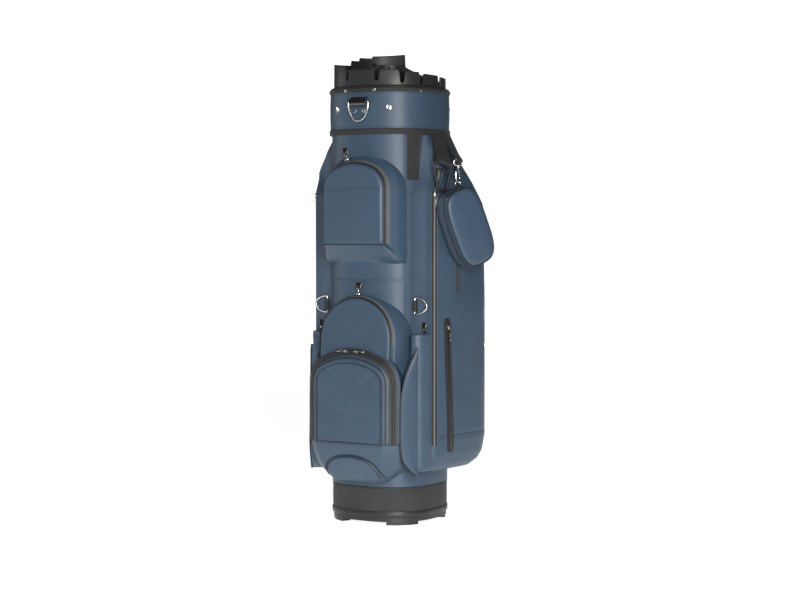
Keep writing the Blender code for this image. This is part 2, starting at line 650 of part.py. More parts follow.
def flank_slider(name, kind, height, side_sign, pull_length):
    side, stations = FLANK_ZIPS[kind]
    low, high = stations[len(stations) // 2 - 1], stations[len(stations) // 2]
    middle = low[1] + (high[1] - low[1]) * (height - low[0]) / (high[0] - low[0])
    lift = FLANK_LIFT + ZIP_THICKNESS
    place = garment_point(height, side, middle, lift)
    normal = garment_point(height, side, middle, lift + 0.01) - place
    low_middle = low[1] + (high[1] - low[1]) * (height - 0.1 - low[0]) / (high[0] - low[0])
    along = place - garment_point(height - 0.1, side, low_middle, lift)
    for v in (place, normal, along):
        v.x *= side_sign
    make_slider(name, place, along, normal, -along, pull_length, pivot(f"{name}_rail", place), 0.0060)


def make_flank_zips():
    add_object("right_garment_zip", flank_zip("right_garment_zip", "garment_zip"), BINDING)
    add_object("left_garment_zip", mirrored(flank_zip("left_garment_zip", "garment_zip")), BINDING)
    add_object("slant_zip", flank_zip("slant_zip", "slant_zip"), PATENT)
    add_object("chest_zip", flank_zip("chest_zip", "chest_zip"), BINDING)
    flank_slider("right_garment_slider", "garment_zip", GARMENT_SLIDER_Z, 1, 0.0220)
    flank_slider("left_garment_slider", "garment_zip", GARMENT_SLIDER_Z, -1, 0.0220)
    flank_slider("slant_slider", "slant_zip", SLANT_SLIDER_Z, 1, 0.0260)


def make_cooler_zip():
    """The cooler's wide zip tape, on the sloping edge between its side and its face, with two sliders."""
    half, bottom, top, corner, crown = COOLER_ARCH
    shape = (half, bottom + 0.0030, top, corner, crown)
    low, high = 0.0045, 0.0150
    slope = (COOLER_DEPTH - 0.0020 - (COOLER_BACK)) / 0.0210
    run = 1 / math.hypot(1, slope)
    loops = []
    for inset, lift in ((low, 0.0006), (low, 0.0006 + ZIP_THICKNESS), (high, 0.0006 + ZIP_THICKNESS), (high, 0.0006)):
        edge = basket_arch(*shape, inset - lift * slope * run)
        loops.append(facing(edge[1:] + edge[:1], COOLER_BACK + inset * slope + lift * run))
    count = len(loops[0])
    points = [p for loop in loops for p in loop]
    faces = [tuple(k * count for k in range(4)), tuple((k + 1) * count - 1 for k in (3, 2, 1, 0))]
    for k in range(4):
        faces += strip(k * count, (k + 1) % 4 * count, count, closed=False)
    mesh = mesh_from("cooler_zip", points, faces)
    add_object("cooler_zip", mesh, BINDING)

    inset, lift = (low + high) / 2, 0.0006 + ZIP_THICKNESS
    middle = Vector((0, -(COOLER_BACK + inset * slope + lift * run), top - crown))
    for name, turn in (("cooler_right_slider", 4.6), ("cooler_left_slider", -4.6)):
        a = math.radians(turn)
        radial = Vector((math.sin(a), 0, math.cos(a)))
        spot = middle + radial * (crown - inset + lift * slope * run)
        normal = radial * slope * run + Vector((0, -run, 0))
        along = Vector((math.cos(a), 0, -math.sin(a))) * math.copysign(1, turn)
        make_slider(name, spot, along, normal, along, 0.0210, pivot(f"{name}_centre", middle), 0.0050)


# ---- Rings, tabs, handle and straps ------------------------------------------------------------------------------
FRONT_RING_PIVOT = Vector((0, -0.1115, 0.7880))
SIDE_RING_PIVOT = Vector((0.0975, -0.0700, 0.4100))


def make_rings():
    tab = cuboid_mesh("front_ring_tab", (-0.0150, -0.1150, 0.7790), (0.0150, -CUFF_HALF - GAP, 0.7990))
    bore = wire_channel("front_ring_bore", FRONT_RING_PIVOT, (1, 0, 0), 0.06)
    item = add_object("front_ring_tab", tab, PATENT)
    boolean(item, bore, "DIFFERENCE")
    hinge = pivot("front_ring_hinge", FRONT_RING_PIVOT)
    ring = oriented(wire_loop_mesh("front_d_ring", d_path(0.0350, 0.0440), WIRE), FRONT_RING_PIVOT, (0, 0, -1), (1, 0, 0))
    add_object("front_d_ring", ring, STEEL, hinge)

    for side, sign in (("right", 1), ("left", -1)):
        place = Vector((SIDE_RING_PIVOT.x * sign, SIDE_RING_PIVOT.y, SIDE_RING_PIVOT.z))
        low = (SIDE_RING_PIVOT.x - 0.0035, -0.0733, SIDE_RING_PIVOT.z - 0.0105)
        high = (SIDE_RING_PIVOT.x + 0.0035, GARMENT_FRONT_Y - GAP, SIDE_RING_PIVOT.z + 0.0105)
        name = f"{side}_ring_tab"
        mesh = cuboid_mesh(name, low, high)
        item = add_object(name, mesh if sign > 0 else mirrored(mesh), BINDING)
        boolean(item, wire_channel(f"{side}_ring_bore", place, (0, 0, 1), 0.05), "DIFFERENCE")
        hinge = pivot(f"{side}_ring_hinge", place)
        name = f"{side}_d_ring"
        ring = oriented(wire_loop_mesh(name, d_path(0.0255, 0.0310), WIRE), place, (sign, 0, 0), (0, 0, 1))
        add_object(name, ring, STEEL, hinge)


def wire_channel(name, place, along, length, radius=WIRE + 0.0005):
    """A round cutter along a direction, for the hole that a ring's bar turns in."""
    circle = [(radius * math.cos(math.tau * i / 12), radius * math.sin(math.tau * i / 12)) for i in range(12)]
    mesh = loft_mesh(name, [at_height(circle, -length / 2), at_height(circle, length / 2)])
    aim = Vector((0, 0, 1)).rotation_difference(Vector(along)).to_matrix().to_4x4()
    mesh.transform(Matrix.Translation(place) @ aim)
    return add_object(name, mesh, CUTTER)


HANDLE_LOW, HANDLE_HIGH = 0.5500, 0.6900
HANDLE_Y = SHELL_HALF + 0.0062
HANDLE_RADIUS = 0.0026


def rod_mesh(name, path, radius, sides=8, flat=1.0):
    """Round wire along an open path. flat scales the section across the path's plane."""
    path = [Vector(p) for p in path]
    normal = Vector((0, 0, 0))
    for i in range(1, len(path) - 1):
        normal += (path[i] - path[i - 1]).cross(path[i + 1] - path[i])
    normal = normal.normalized() if normal.length > 1e-9 else Vector((1, 0, 0))
    loops = []
    for i, spot in enumerate(path):
        before, after = path[max(i - 1, 0)], path[min(i + 1, len(path) - 1)]
        along = (after - before).normalized()
        out = along.cross(normal).normalized()
        turns = [math.tau * k / sides for k in range(sides)]
        loops.append([spot + out * radius * math.cos(t) + normal * radius * flat * math.sin(t) for t in turns])
    mesh = loft_mesh(name, loops)
    return mesh


def make_handle():
    """A grab handle on the spine side, which swings on two webbing anchors."""
    for end, z in (("upper", HANDLE_HIGH), ("lower", HANDLE_LOW)):
        name = f"handle_{end}_anchor"
        mesh = cuboid_mesh(name, (-0.0130, SHELL_HALF + GAP, z - 0.0080), (0.0130, SHELL_HALF + 0.0110, z + 0.0080))
        item = add_object(name, mesh, BINDING)
        bore = wire_channel(f"{name}_bore", Vector((0, HANDLE_Y, z)), (0, 0, 1), 0.05, HANDLE_RADIUS + 0.0005)
        boolean(item, bore, "DIFFERENCE")
    bow, path = 0.0360, []
    low, high = HANDLE_LOW - 0.0110, HANDLE_HIGH + 0.0110
    for z, reach in ((low + 0.0200, 0.0), (low, 0.0), (low - 0.0040, 0.0040), (low - 0.0030, 0.0120),
                     (low + 0.0300, bow), (high - 0.0300, bow), (high + 0.0030, 0.0120), (high + 0.0040, 0.0040),
                     (high, 0.0), (high - 0.0200, 0.0)):
        path.append((0.0, HANDLE_Y + reach, z))
    hinge = pivot("handle_hinge", (0, HANDLE_Y, (low + high) / 2))
    add_object("carry_handle", rod_mesh("carry_handle", path, HANDLE_RADIUS), BINDING, hinge)


# ---- Towel hook, snap hook and pouch --------------------------------------------------------------------------
TOWEL_ROOT, TOWEL_EYE = Vector((0.1120, -0.0100, 0.7270)), Vector((0.1465, -0.0510, 0.6760))
TOWEL_FACING = 75.0          # azimuth that the towel strap faces
CLIP_ROOT, CLIP_EYE = Vector((0.1125, 0.0220, 0.7270)), Vector((0.1440, 0.0080, 0.6820))
CLIP_FACING = 92.0
POUCH_MIDDLE = Vector((0.1770, -0.0190, 0.5560))
POUCH_FACING, POUCH_TILT = 65.0, 23.0
POUCH_HALF_LENGTH, POUCH_HALF_WIDTH, POUCH_HALF_DEPTH = 0.0720, 0.0370, 0.0190


def facing_axes(azimuth):
    """(outward normal, horizontal axis to its right) for something that faces an azimuth."""
    a = math.radians(azimuth)
    return Vector((math.sin(a), -math.cos(a), 0)), Vector((math.cos(a), math.sin(a), 0))


def hanging_strap(name, root, eye, azimuth, width, wire):
    """Webbing from its sewn root down to a folded eye that a bar turns in."""
    normal, side = facing_axes(azimuth)
    down = (eye - root).normalized()
    out = side.cross(down).normalized()
    if out.dot(normal) < 0:
        out = -out
    eye_half, thin = wire + 0.0022, WEBBING
    profile = [(root, thin), (eye - down * eye_half * 2.2, thin), (eye - down * eye_half, eye_half),
               (eye + down * eye_half, eye_half)]
    loops = []
    for spot, half in profile:
        corners = [(-1, -1), (1, -1), (1, 1), (-1, 1)]
        loops.append([spot + side * a * width / 2 + out * b * half for a, b in corners])
    if (loops[0][1] - loops[0][0]).cross(loops[0][2] - loops[0][1]).dot(down) < 0:
        loops = [list(reversed(loop)) for loop in loops]
    item = add_object(name, loft_mesh(name, loops), BINDING)
    boolean(item, wire_channel(f"{name}_bore", eye, side, 0.08, wire + 0.0005), "DIFFERENCE")


def make_towel_hook():
    wire = 0.0021
    hanging_strap("towel_strap", TOWEL_ROOT, TOWEL_EYE, TOWEL_FACING, 0.0320, wire)
    normal, side = facing_axes(TOWEL_FACING)
    path = [(-0.0215, 0.0), (-0.0230, -0.0060), (-0.0120, -0.0520), (0.0100, -0.0520), (0.0230, -0.0060), (0.0215, 0.0)]
    hook = wire_loop_mesh("towel_hook", path, wire, 8)
    hinge = pivot("towel_hook_hinge", TOWEL_EYE)
    item = add_object("towel_hook", oriented(hook, TOWEL_EYE, side, (0, 0, 1)), MOULDING, hinge)
    bar = [TOWEL_EYE + side * x + Vector((0, 0, z)) for x, z in ((-0.0221, -0.0120), (0.0, -0.0145), (0.0196, -0.0210))]
    boolean(item, add_object("towel_hook_bar", rod_mesh("towel_hook_bar", bar, wire * 0.85), MOULDING), "UNION")


def make_snap_hook():
    wire = 0.0017
    hanging_strap("pouch_strap", CLIP_ROOT, CLIP_EYE, CLIP_FACING, 0.0240, wire)
    normal, side = facing_axes(CLIP_FACING)
    hinge = pivot("snap_hook_hinge", CLIP_EYE)

    def at(x, z):
        return CLIP_EYE + side * x + Vector((0, 0, z))

    frame = [(-0.0150, 0.0), (-0.0150, -0.0100), (0.0150, -0.0100), (0.0150, 0.0)]
    item = add_object("snap_hook", oriented(wire_loop_mesh("snap_hook", frame, wire), CLIP_EYE, side, (0, 0, 1)), STEEL,
                      hinge)
    hook = [at(0.0, -0.0098), at(0.0, -0.0150), at(-0.0060, -0.0200), at(-0.0072, -0.0330)]
    for k in range(1, 6):
        turn = math.pi + math.pi * k / 6
        hook.append(at(0.0072 * math.cos(turn), -0.0350 + 0.0072 * math.sin(turn)))
    hook.append(at(0.0072, -0.0345))
    boolean(item, add_object("snap_hook_body", rod_mesh("snap_hook_body", hook, wire), STEEL), "UNION")
    gate_pivot = at(0.0020, -0.0185)
    gate_hinge = pivot("snap_gate_hinge", gate_pivot)
    gate_hinge.parent = item
    gate_hinge.matrix_parent_inverse = item.matrix_world.inverted()
    gate = [at(0.0020, -0.0185), at(0.0046, -0.0250), at(0.0072, -0.0322)]
    add_object("snap_gate", rod_mesh("snap_gate", gate, 0.0013, 6), STEEL, gate_hinge)
    return at(0.0, -0.0422), side, item


def make_pouch():
    """The zipped valuables pouch, whose webbing loop hangs on the snap hook."""
    hook_bottom, hook_side, hook = make_snap_hook()
    normal, side = facing_axes(POUCH_FACING)
    tilt = math.radians(POUCH_TILT)
    long_axis = Vector((0, 0, 1)) * math.cos(tilt) - side * math.sin(tilt)
    short_axis = long_axis.cross(normal).normalized()
    if short_axis.dot(side) < 0:
        short_axis = -short_axis

    def outline(inset, depth):
        loop = []
        for k in range(24):
            t = math.tau * k / 24
            c, s = math.cos(t), math.sin(t)
            a = (POUCH_HALF_WIDTH - inset) * math.copysign(abs(c) ** 0.85, c)
            b = (POUCH_HALF_LENGTH - inset) * math.copysign(abs(s) ** 0.85, s)
            loop.append(POUCH_MIDDLE + short_axis * a + long_axis * b + normal * depth)
        return loop

    d = POUCH_HALF_DEPTH
    loops = [outline(0.0060, -d), outline(0.0, -d + 0.0040), outline(0.0, d - 0.0040), outline(0.0050, d)]
    if short_axis.cross(long_axis).dot(normal) < 0:
        loops = [list(reversed(loop)) for loop in loops]
    hinge = pivot("pouch_hinge", hook_bottom)
    hinge.parent = hook
    hinge.matrix_parent_inverse = hook.matrix_world.inverted()
    pouch = add_object("pouch", loft_mesh("pouch", loops), SKIN, hinge)
    out = Vector((hook_side.y, -hook_side.x, 0))
    top = POUCH_MIDDLE + long_axis * (POUCH_HALF_LENGTH - 0.0100) - short_axis * -0.0200
    eye = [hook_bottom + out * 0.0050 * math.cos(math.tau * k / 10) +
           Vector((0, 0, 0.0050 * math.sin(math.tau * k / 10) - 0.0008)) for k in range(10)]
    ring = wire_loop_mesh("pouch_eye", [(0.0052 * math.cos(math.tau * k / 12), 0.0052 * math.sin(math.tau * k / 12))
                                        for k in range(12)], 0.0013)
    oriented(ring, hook_bottom + Vector((0, 0, -0.0012)), out, (0, 0, 1))
    boolean(pouch, add_object("pouch_eye", ring, STEEL), "UNION")
    tail = rod_mesh("pouch_loop", [hook_bottom + Vector((0, 0, -0.0062)), (hook_bottom + top) / 2, top], 0.0022)
    boolean(pouch, add_object("pouch_loop", tail, BINDING), "UNION")


def make_glove_patch():
    """Hook-and-loop patch that a glove is pressed onto, beside the front panel."""
    outline = []
    for angle in (45, 47.5, 50, 52.5, 55):
        outline.append(rim_point(angle, SHELL_HALF + 0.0020))
    for angle in (55, 52.5, 50, 47.5, 45):
        outline.append(rim_point(angle, SHELL_HALF + GAP))
    mesh = loft_mesh("glove_patch", [at_height(outline, 0.6440), at_height(outline, 0.7270)])
    add_object("glove_patch", mesh, BINDING)


def build():
    make_base()
    make_tube()
    make_dividers()
    make_organiser()
    make_front_pockets()
    make_side_pockets()
    make_zips()
    make_flank_zips()
    make_cooler_zip()
    make_rings()
    make_handle()
    make_towel_hook()
    make_pouch()
    make_glove_patch()


clear_scene()
SKIN = make_material("blue_softshell", (0.090, 0.130, 0.185), 0.55)
BALLISTIC = make_material("black_ballistic_nylon", (0.045, 0.045, 0.047), 0.8)
BINDING = make_material("black_webbing", (0.030, 0.029, 0.029), 0.75)
LINING = make_material("grey_lining", (0.12, 0.12, 0.13), 0.85)
MOULDING = make_material("black_moulding", (0.035, 0.035, 0.037), 0.42)
PATENT = make_material("black_patent", (0.012, 0.012, 0.012), 0.18)
FOAM = make_material("black_foam", (0.02, 0.02, 0.02), 0.9)
STEEL = make_material("polished_steel", (0.72, 0.70, 0.68), 0.18, 1.0)
ALUMINIUM = make_material("aluminium", (0.75, 0.75, 0.77), 0.35, 1.0)
CUTTER = make_material("cutter", (1.0, 0.0, 1.0), 0.5)
build()
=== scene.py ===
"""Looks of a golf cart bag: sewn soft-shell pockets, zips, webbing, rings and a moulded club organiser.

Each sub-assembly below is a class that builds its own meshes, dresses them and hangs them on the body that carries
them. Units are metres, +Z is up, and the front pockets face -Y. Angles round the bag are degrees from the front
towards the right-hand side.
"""

from __future__ import annotations

import json
import logging
import math
from dataclasses import dataclass, field
from enum import Enum
from typing import Callable, Iterable, Sequence

import bmesh
import bpy
from mathutils import Matrix, Vector, noise

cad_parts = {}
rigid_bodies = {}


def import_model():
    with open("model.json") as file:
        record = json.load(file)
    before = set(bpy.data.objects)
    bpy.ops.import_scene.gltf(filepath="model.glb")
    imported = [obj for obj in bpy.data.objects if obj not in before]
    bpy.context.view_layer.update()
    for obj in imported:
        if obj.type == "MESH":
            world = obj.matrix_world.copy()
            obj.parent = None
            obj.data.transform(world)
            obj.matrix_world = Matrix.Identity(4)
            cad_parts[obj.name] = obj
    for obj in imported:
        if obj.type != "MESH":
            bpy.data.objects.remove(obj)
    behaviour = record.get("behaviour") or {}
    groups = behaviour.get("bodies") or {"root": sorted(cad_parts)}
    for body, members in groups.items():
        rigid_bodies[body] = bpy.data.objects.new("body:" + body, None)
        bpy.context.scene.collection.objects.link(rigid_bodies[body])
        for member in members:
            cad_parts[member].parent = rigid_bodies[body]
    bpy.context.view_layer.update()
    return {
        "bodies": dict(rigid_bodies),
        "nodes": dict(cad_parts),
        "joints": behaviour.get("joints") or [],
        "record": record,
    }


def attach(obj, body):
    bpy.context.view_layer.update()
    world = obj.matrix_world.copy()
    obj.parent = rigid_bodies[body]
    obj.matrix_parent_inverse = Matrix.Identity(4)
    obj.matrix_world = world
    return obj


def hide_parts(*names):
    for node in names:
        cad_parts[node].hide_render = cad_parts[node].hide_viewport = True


LOG = logging.getLogger("cart_bag")
Outline = list[tuple[float, float]]
Rows = list[list[Vector]]
Colour = tuple[float, float, float]

SQUARENESS = 2.6
SHELL_HALF = 0.1025
UNDER_CUFF = 0.7270
SIDES = ((1, "right"), (-1, "left"))
UP = Vector((0.0, 0.0, 1.0))
FRONT = Vector((0.0, -1.0, 0.0))
RIGHT = Vector((1.0, 0.0, 0.0))


# ---- Numbers and plan geometry ---------------------------------------------------------------------------------
def clamped(value: float, low: float = 0.0, high: float = 1.0) -> float:
    """A value kept between two limits."""
    return min(max(value, low), high)


def eased(share: float) -> float:
    """A share from 0 to 1 with a soft start and a soft end."""
    return share * share * (3 - 2 * share)


def bent(value: float, power: float) -> float:
    """A value's size raised to a power, with the value's sign."""
    return math.copysign(abs(value) ** power, value)


def spaced(low: float, high: float, pieces: int) -> list[float]:
    """Evenly spaced values from low to high, with both ends."""
    return [low + (high - low) * k / pieces for k in range(pieces + 1)]


def full_turn(count: int) -> list[float]:
    """Evenly spaced angles right round a circle, in radians."""
    return [math.tau * k / count for k in range(count)]


def rotated_frame(azimuth: float) -> tuple[Vector, Vector]:
    """The outward normal and the horizontal axis to its right for something that faces an azimuth."""
    a = math.radians(azimuth)
    return Vector((math.sin(a), -math.cos(a), 0)), Vector((math.cos(a), math.sin(a), 0))


def wall_point(angle: float, half: float, height: float) -> Vector:
    """Finds a point of the bag's rounded-square section.

    Args:
        angle: Degrees from the front towards the right.
        half: Half width of the section.
        height: Height of the point.

    Returns:
        The point on the section at that height.
    """
    turn = math.radians(angle)
    x, y = math.sin(turn), -math.cos(turn)
    reach = half / (abs(x) ** SQUARENESS + abs(y) ** SQUARENESS) ** (1 / SQUARENESS)
    return Vector((reach * x, reach * y, height))


def wall_normal(angle: float) -> Vector:
    """Outward normal of the section at an angle."""
    p = wall_point(angle, 1.0, 0.0)
    return Vector((bent(p.x, SQUARENESS - 1), bent(p.y, SQUARENESS - 1), 0.0)).normalized()


def wall_depth(x: float, half: float = SHELL_HALF) -> float:
    """How far in front of the axis the section stands at a sideways offset."""
    share = min(abs(x) / half, 0.999)
    return half * (1 - share ** SQUARENESS) ** (1 / SQUARENESS)


def resample(points: Sequence[Vector], count: int, closed: bool = True) -> list[Vector]:
    """Spaces points evenly along a path.

    Args:
        points: The path's corners.
        count: How many points to return.
        closed: Whether the path returns to its start.

    Returns:
        The evenly spaced points. A closed path doesn't repeat its first point.
    """
    path = list(points) + ([points[0]] if closed else [])
    lengths = [0.0]
    for a, b in zip(path, path[1:]):
        lengths.append(lengths[-1] + (b - a).length)
    steps = count if closed else count - 1
    out, k = [], 0
    for i in range(count):
        want = lengths[-1] * i / steps
        while k < len(path) - 2 and lengths[k + 1] < want:
            k += 1
        span = lengths[k + 1] - lengths[k]
        out.append(path[k].lerp(path[k + 1], 0.0 if span < 1e-12 else (want - lengths[k]) / span))
    return out


def smooth_path(points: Sequence[Vector], steps: int = 6, closed: bool = False) -> list[Vector]:
    """Runs a Catmull-Rom curve through points.

    Args:
        points: Points the curve passes through.
        steps: Pieces between two points.
        closed: Whether the curve returns to its start.

    Returns:
        The points of the curve.
    """
    count = len(points)
    out: list[Vector] = []
    spans = count if closed else count - 1
    for i in range(spans):
        def at(k: int) -> Vector:
            return points[k % count] if closed else points[min(max(k, 0), count - 1)]
        a, b, c, d = at(i - 1), at(i), at(i + 1), at(i + 2)
        for s in range(steps):
            t = s / steps
            out.append(0.5 * (2 * b + (c - a) * t + (2 * a - 5 * b + 4 * c - d) * t * t
                              + (3 * b - a - 3 * c + d) * t * t * t))
    if not closed:
        out.append(points[-1].copy())
    return out


def tangent(path: Sequence[Vector], i: int, closed: bool = False) -> Vector:
    """Direction of a path at one of its points."""
    if closed:
        return (path[(i + 1) % len(path)] - path[i - 1]).normalized()
    return (path[min(i + 1, len(path) - 1)] - path[max(i - 1, 0)]).normalized()


@dataclass(frozen=True)
class Arch:
    """A panel with straight sides under a basket arch, in (x, z)."""

    half: float
    bottom: float
    top: float
    corner: float
    crown: float
    foot_radius: float = 0.004

    def outline(self, inset: float = 0.0, bottom: float | None = None, count: int = 120) -> Outline:
        """Traces the panel's edge.

        Args:
            inset: How far inside the panel's edge to trace.
            bottom: Height of the bottom edge, if it isn't the panel's own.
            count: How many points to return, evenly spaced from the middle of the bottom edge.

        Returns:
            Points in (x, z), anticlockwise seen from the front.
        """
        low = (self.bottom if bottom is None else bottom) + inset
        shoulder, reach = self.half - self.corner, self.crown - self.corner
        lean = math.asin(shoulder / reach) if reach > 0 else 0.0
        crown_z = self.top - self.crown
        corner_z = crown_z + reach * math.cos(lean)
        corner, crown, half = self.corner - inset, self.crown - inset, self.half - inset
        foot = max(self.foot_radius - inset * 0.5, 0.001)
        right = [Vector((half - foot + foot * math.sin(t), 0, low + foot - foot * math.cos(t)))
                 for t in spaced(0.0, math.pi / 2, 5)]
        for turn in spaced(math.pi / 2, lean, 14):
            right.append(Vector((shoulder + corner * math.sin(turn), 0, corner_z + corner * math.cos(turn))))
        for k in range(1, 9):
            turn = lean * (1 - k / 9)
            right.append(Vector((crown * math.sin(turn), 0, crown_z + crown * math.cos(turn))))
        left = [Vector((-p.x, 0, p.z)) for p in reversed(right)]
        path = [Vector((0, 0, low))] + right + [Vector((0, 0, crown_z + crown))] + left
        return [(p.x, p.z) for p in resample(path, count)]

    def edge(self, inset: float, foot: float, count: int = 90) -> list[Vector]:
        """The open path up one side, over the arch and down the other, from a height, at depth 0."""
        points = [Vector((x, 0, z)) for x, z in self.outline(inset, self.bottom, 240)]
        kept = [p for p in points if p.z >= foot]
        kept.sort(key=lambda p: math.atan2(p.x, p.z - self.bottom))
        return resample(list(reversed(kept)), count, closed=False)


# ---- Mesh tools ----------------------------------------------------------------------------------------------
def finish_mesh(name: str, shell: bmesh.types.BMesh, sharp: float = 40.0) -> bpy.types.Object:
    """Turns a bmesh into a smooth-shaded object with its normals facing out.

    Args:
        name: Name of the piece.
        shell: The mesh, which is freed.
        sharp: Angle in degrees above which an edge stays sharp.

    Returns:
        The linked object.
    """
    bmesh.ops.recalc_face_normals(shell, faces=shell.faces)
    mesh = bpy.data.meshes.new(name)
    shell.to_mesh(mesh)
    shell.free()
    mesh.shade_smooth()
    mesh.set_sharp_from_angle(angle=math.radians(sharp))
    piece = bpy.data.objects.new(name, mesh)
    bpy.context.scene.collection.objects.link(piece)
    return piece


def add_rows(shell: bmesh.types.BMesh, rows: Rows, wrap: bool = True, close: bool = False,
             caps: bool = False, material: int = 0) -> None:
    """Adds a skin through rows of points.

    Args:
        shell: The bmesh to add to.
        rows: Rows of equal length.
        wrap: Whether each row is a closed loop.
        close: Whether the last row joins the first.
        caps: Whether the first and last rows are filled.
        material: Material index of the new faces.
    """
    verts = [[shell.verts.new(p) for p in row] for row in rows]
    count = len(rows[0])
    last_row = len(rows) if close else len(rows) - 1
    for j in range(last_row):
        a, b = verts[j], verts[(j + 1) % len(rows)]
        for i in range(count if wrap else count - 1):
            k = (i + 1) % count
            face = shell.faces.new((a[i], a[k], b[k], b[i]))
            face.material_index = material
    if caps:
        for ring in (verts[0], verts[-1]):
            shell.faces.new(ring).material_index = material


def lofted(name: str, rows: Rows, wrap: bool = True, close: bool = False, caps: bool = False,
           sharp: float = 40.0) -> bpy.types.Object:
    """Makes one object from rows of points. See add_rows for the arguments."""
    shell = bmesh.new()
    add_rows(shell, rows, wrap, close, caps)
    return finish_mesh(name, shell, sharp)


def sweep_rows(path: Sequence[Vector], section: Sequence[tuple[float, float]], closed: bool = False,
               hint: Vector | None = None, swell: Callable[[int], float] | None = None) -> Rows:
    """Carries a section along a path without twisting it.

    Args:
        path: Points of the path.
        section: (across, out) points of the section.
        closed: Whether the path returns to its start.
        hint: Direction that the section's out axis starts nearest to.
        swell: Scale of the section at each path index.

    Returns:
        One row for each path point.
    """
    rows: Rows = []
    out = Vector(hint) if hint is not None else Vector((0.3, 0.5, 0.8))
    for i, spot in enumerate(path):
        along = tangent(path, i, closed)
        out = (out - along * out.dot(along)).normalized()
        across = along.cross(out)
        size = swell(i) if swell else 1.0
        rows.append([spot + across * a * size + out * b * size for a, b in section])
    return rows


def ribbon_rows(path: Sequence[Vector], normals: Sequence[Vector], width: float, thickness: float,
                lift: float = 0.0, closed: bool = False, scales: Sequence[float] | None = None) -> Rows:
    """Lays a flat band along a path on a surface.

    Args:
        path: Points on the surface.
        normals: The surface's normal at each point.
        width: Width of the band.
        thickness: Thickness of the band.
        lift: Height of the band's underside over the surface.
        closed: Whether the path returns to its start.
        scales: Factor on the width at each point.

    Returns:
        One row for each point: the band's section with softened edges.
    """
    half, edge = width / 2, min(thickness * 0.45, width * 0.2)
    section = [(-half, lift), (-half, lift + thickness - edge), (-half + edge, lift + thickness),
               (0.0, lift + thickness), (half - edge, lift + thickness), (half, lift + thickness - edge), (half, lift)]
    rows: Rows = []
    for i, spot in enumerate(path):
        along = tangent(path, i, closed)
        out = (normals[i] - along * normals[i].dot(along)).normalized()
        across = along.cross(out) * (scales[i] if scales else 1.0)
        rows.append([spot + across * a + out * b for a, b in section])
    return rows


def circle(radius: float, sides: int = 10) -> list[tuple[float, float]]:
    """A round section."""
    return [(radius * math.cos(t), radius * math.sin(t)) for t in full_turn(sides)]


def tube(name: str, path: Sequence[Vector], radius: float, closed: bool = False, sides: int = 10,
         hint: Vector | None = None) -> bpy.types.Object:
    """Makes round wire, cord or piping along a path."""
    rows = sweep_rows(path, circle(radius, sides), closed, hint)
    return lofted(name, rows, close=closed, caps=not closed, sharp=50)


def offset_along(path: Sequence[Vector], normals: Sequence[Vector], lift: float) -> list[Vector]:
    """Lifts a path off its surface."""
    return [p + n * lift for p, n in zip(path, normals)]


def beside(path: Sequence[Vector], normals: Sequence[Vector], reach: float, lift: float = 0.0) -> list[Vector]:
    """A line that runs beside a path on its surface."""
    return [p + tangent(path, i).cross(n) * reach + n * lift for i, (p, n) in enumerate(zip(path, normals))]


def stitch_line(name: str, path: Sequence[Vector], normals: Sequence[Vector], pitch: float = 0.0042,
                length: float = 0.0030, radius: float = 0.00033, lift: float = 0.0002) -> bpy.types.Object:
    """Sews a row of stitches along a path.

    Args:
        name: Name of the piece.
        path: Points on the surface.
        normals: The surface's normal at each point.
        pitch: Distance between the starts of two stitches.
        length: Length of a stitch.
        radius: Radius of the thread.
        lift: Height of the thread's axis over the surface.

    Returns:
        One object that holds every stitch of the line.
    """
    total = sum((b - a).length for a, b in zip(path, path[1:]))
    count = max(int(total / pitch), 2)
    spots = resample(path, count * 2, closed=False)
    shell = bmesh.new()
    for k in range(0, len(spots) - 1, 2):
        a, b = spots[k], spots[k + 1]
        share = k / (len(spots) - 1) * (len(path) - 1)
        out = normals[min(int(round(share)), len(normals) - 1)]
        along = (b - a).normalized()
        across = along.cross(out).normalized()
        middle = (a + b) / 2 + out * lift
        rows = []
        for t, size, sink in ((-0.5, 0.35, 1.0), (-0.3, 1.0, 0.0), (0.3, 1.0, 0.0), (0.5, 0.35, 1.0)):
            spot = middle + along * length * t - out * radius * sink
            rows.append([spot + (across * c + out * s) * size for c, s in circle(radius, 5)])
        add_rows(shell, rows, caps=True)
    return finish_mesh(name, shell, 60)


def box_rows(size: tuple[float, float, float], bevel: float, sides: int = 4) -> Rows:
    """Rows of a block with rounded edges, centred on the origin, from the bottom up."""
    sx, sy, sz = (s / 2 for s in size)

    def ring(inset: float, z: float) -> list[Vector]:
        corner = max(bevel - inset * 0.4, bevel * 0.4)
        points = []
        for cx, cy, start in ((1, 1, 0), (-1, 1, 90), (-1, -1, 180), (1, -1, 270)):
            for k in range(sides + 1):
                t = math.radians(start + 90 * k / sides)
                points.append(Vector((cx * (sx - inset - corner) + corner * math.cos(t),
                                      cy * (sy - inset - corner) + corner * math.sin(t), z)))
        return points

    soft = min(bevel, sz) * 0.9
    return [ring(soft * 0.5, -sz), ring(soft * 0.12, -sz + soft * 0.4), ring(0.0, -sz + soft),
            ring(0.0, sz - soft), ring(soft * 0.12, sz - soft * 0.4), ring(soft * 0.5, sz)]


def aimed(x_axis: Vector, z_axis: Vector, origin: Vector) -> Matrix:
    """Matrix that stands local +Z along z_axis and local +X as near as it can to x_axis."""
    z = z_axis.normalized()
    x = (x_axis - z * x_axis.dot(z)).normalized()
    y = z.cross(x)
    return Matrix.Translation(origin) @ Matrix((x, y, z)).transposed().to_4x4()


def moved(rows: Rows, matrix: Matrix) -> Rows:
    """Rows carried by a matrix."""
    return [[matrix @ p for p in row] for row in rows]


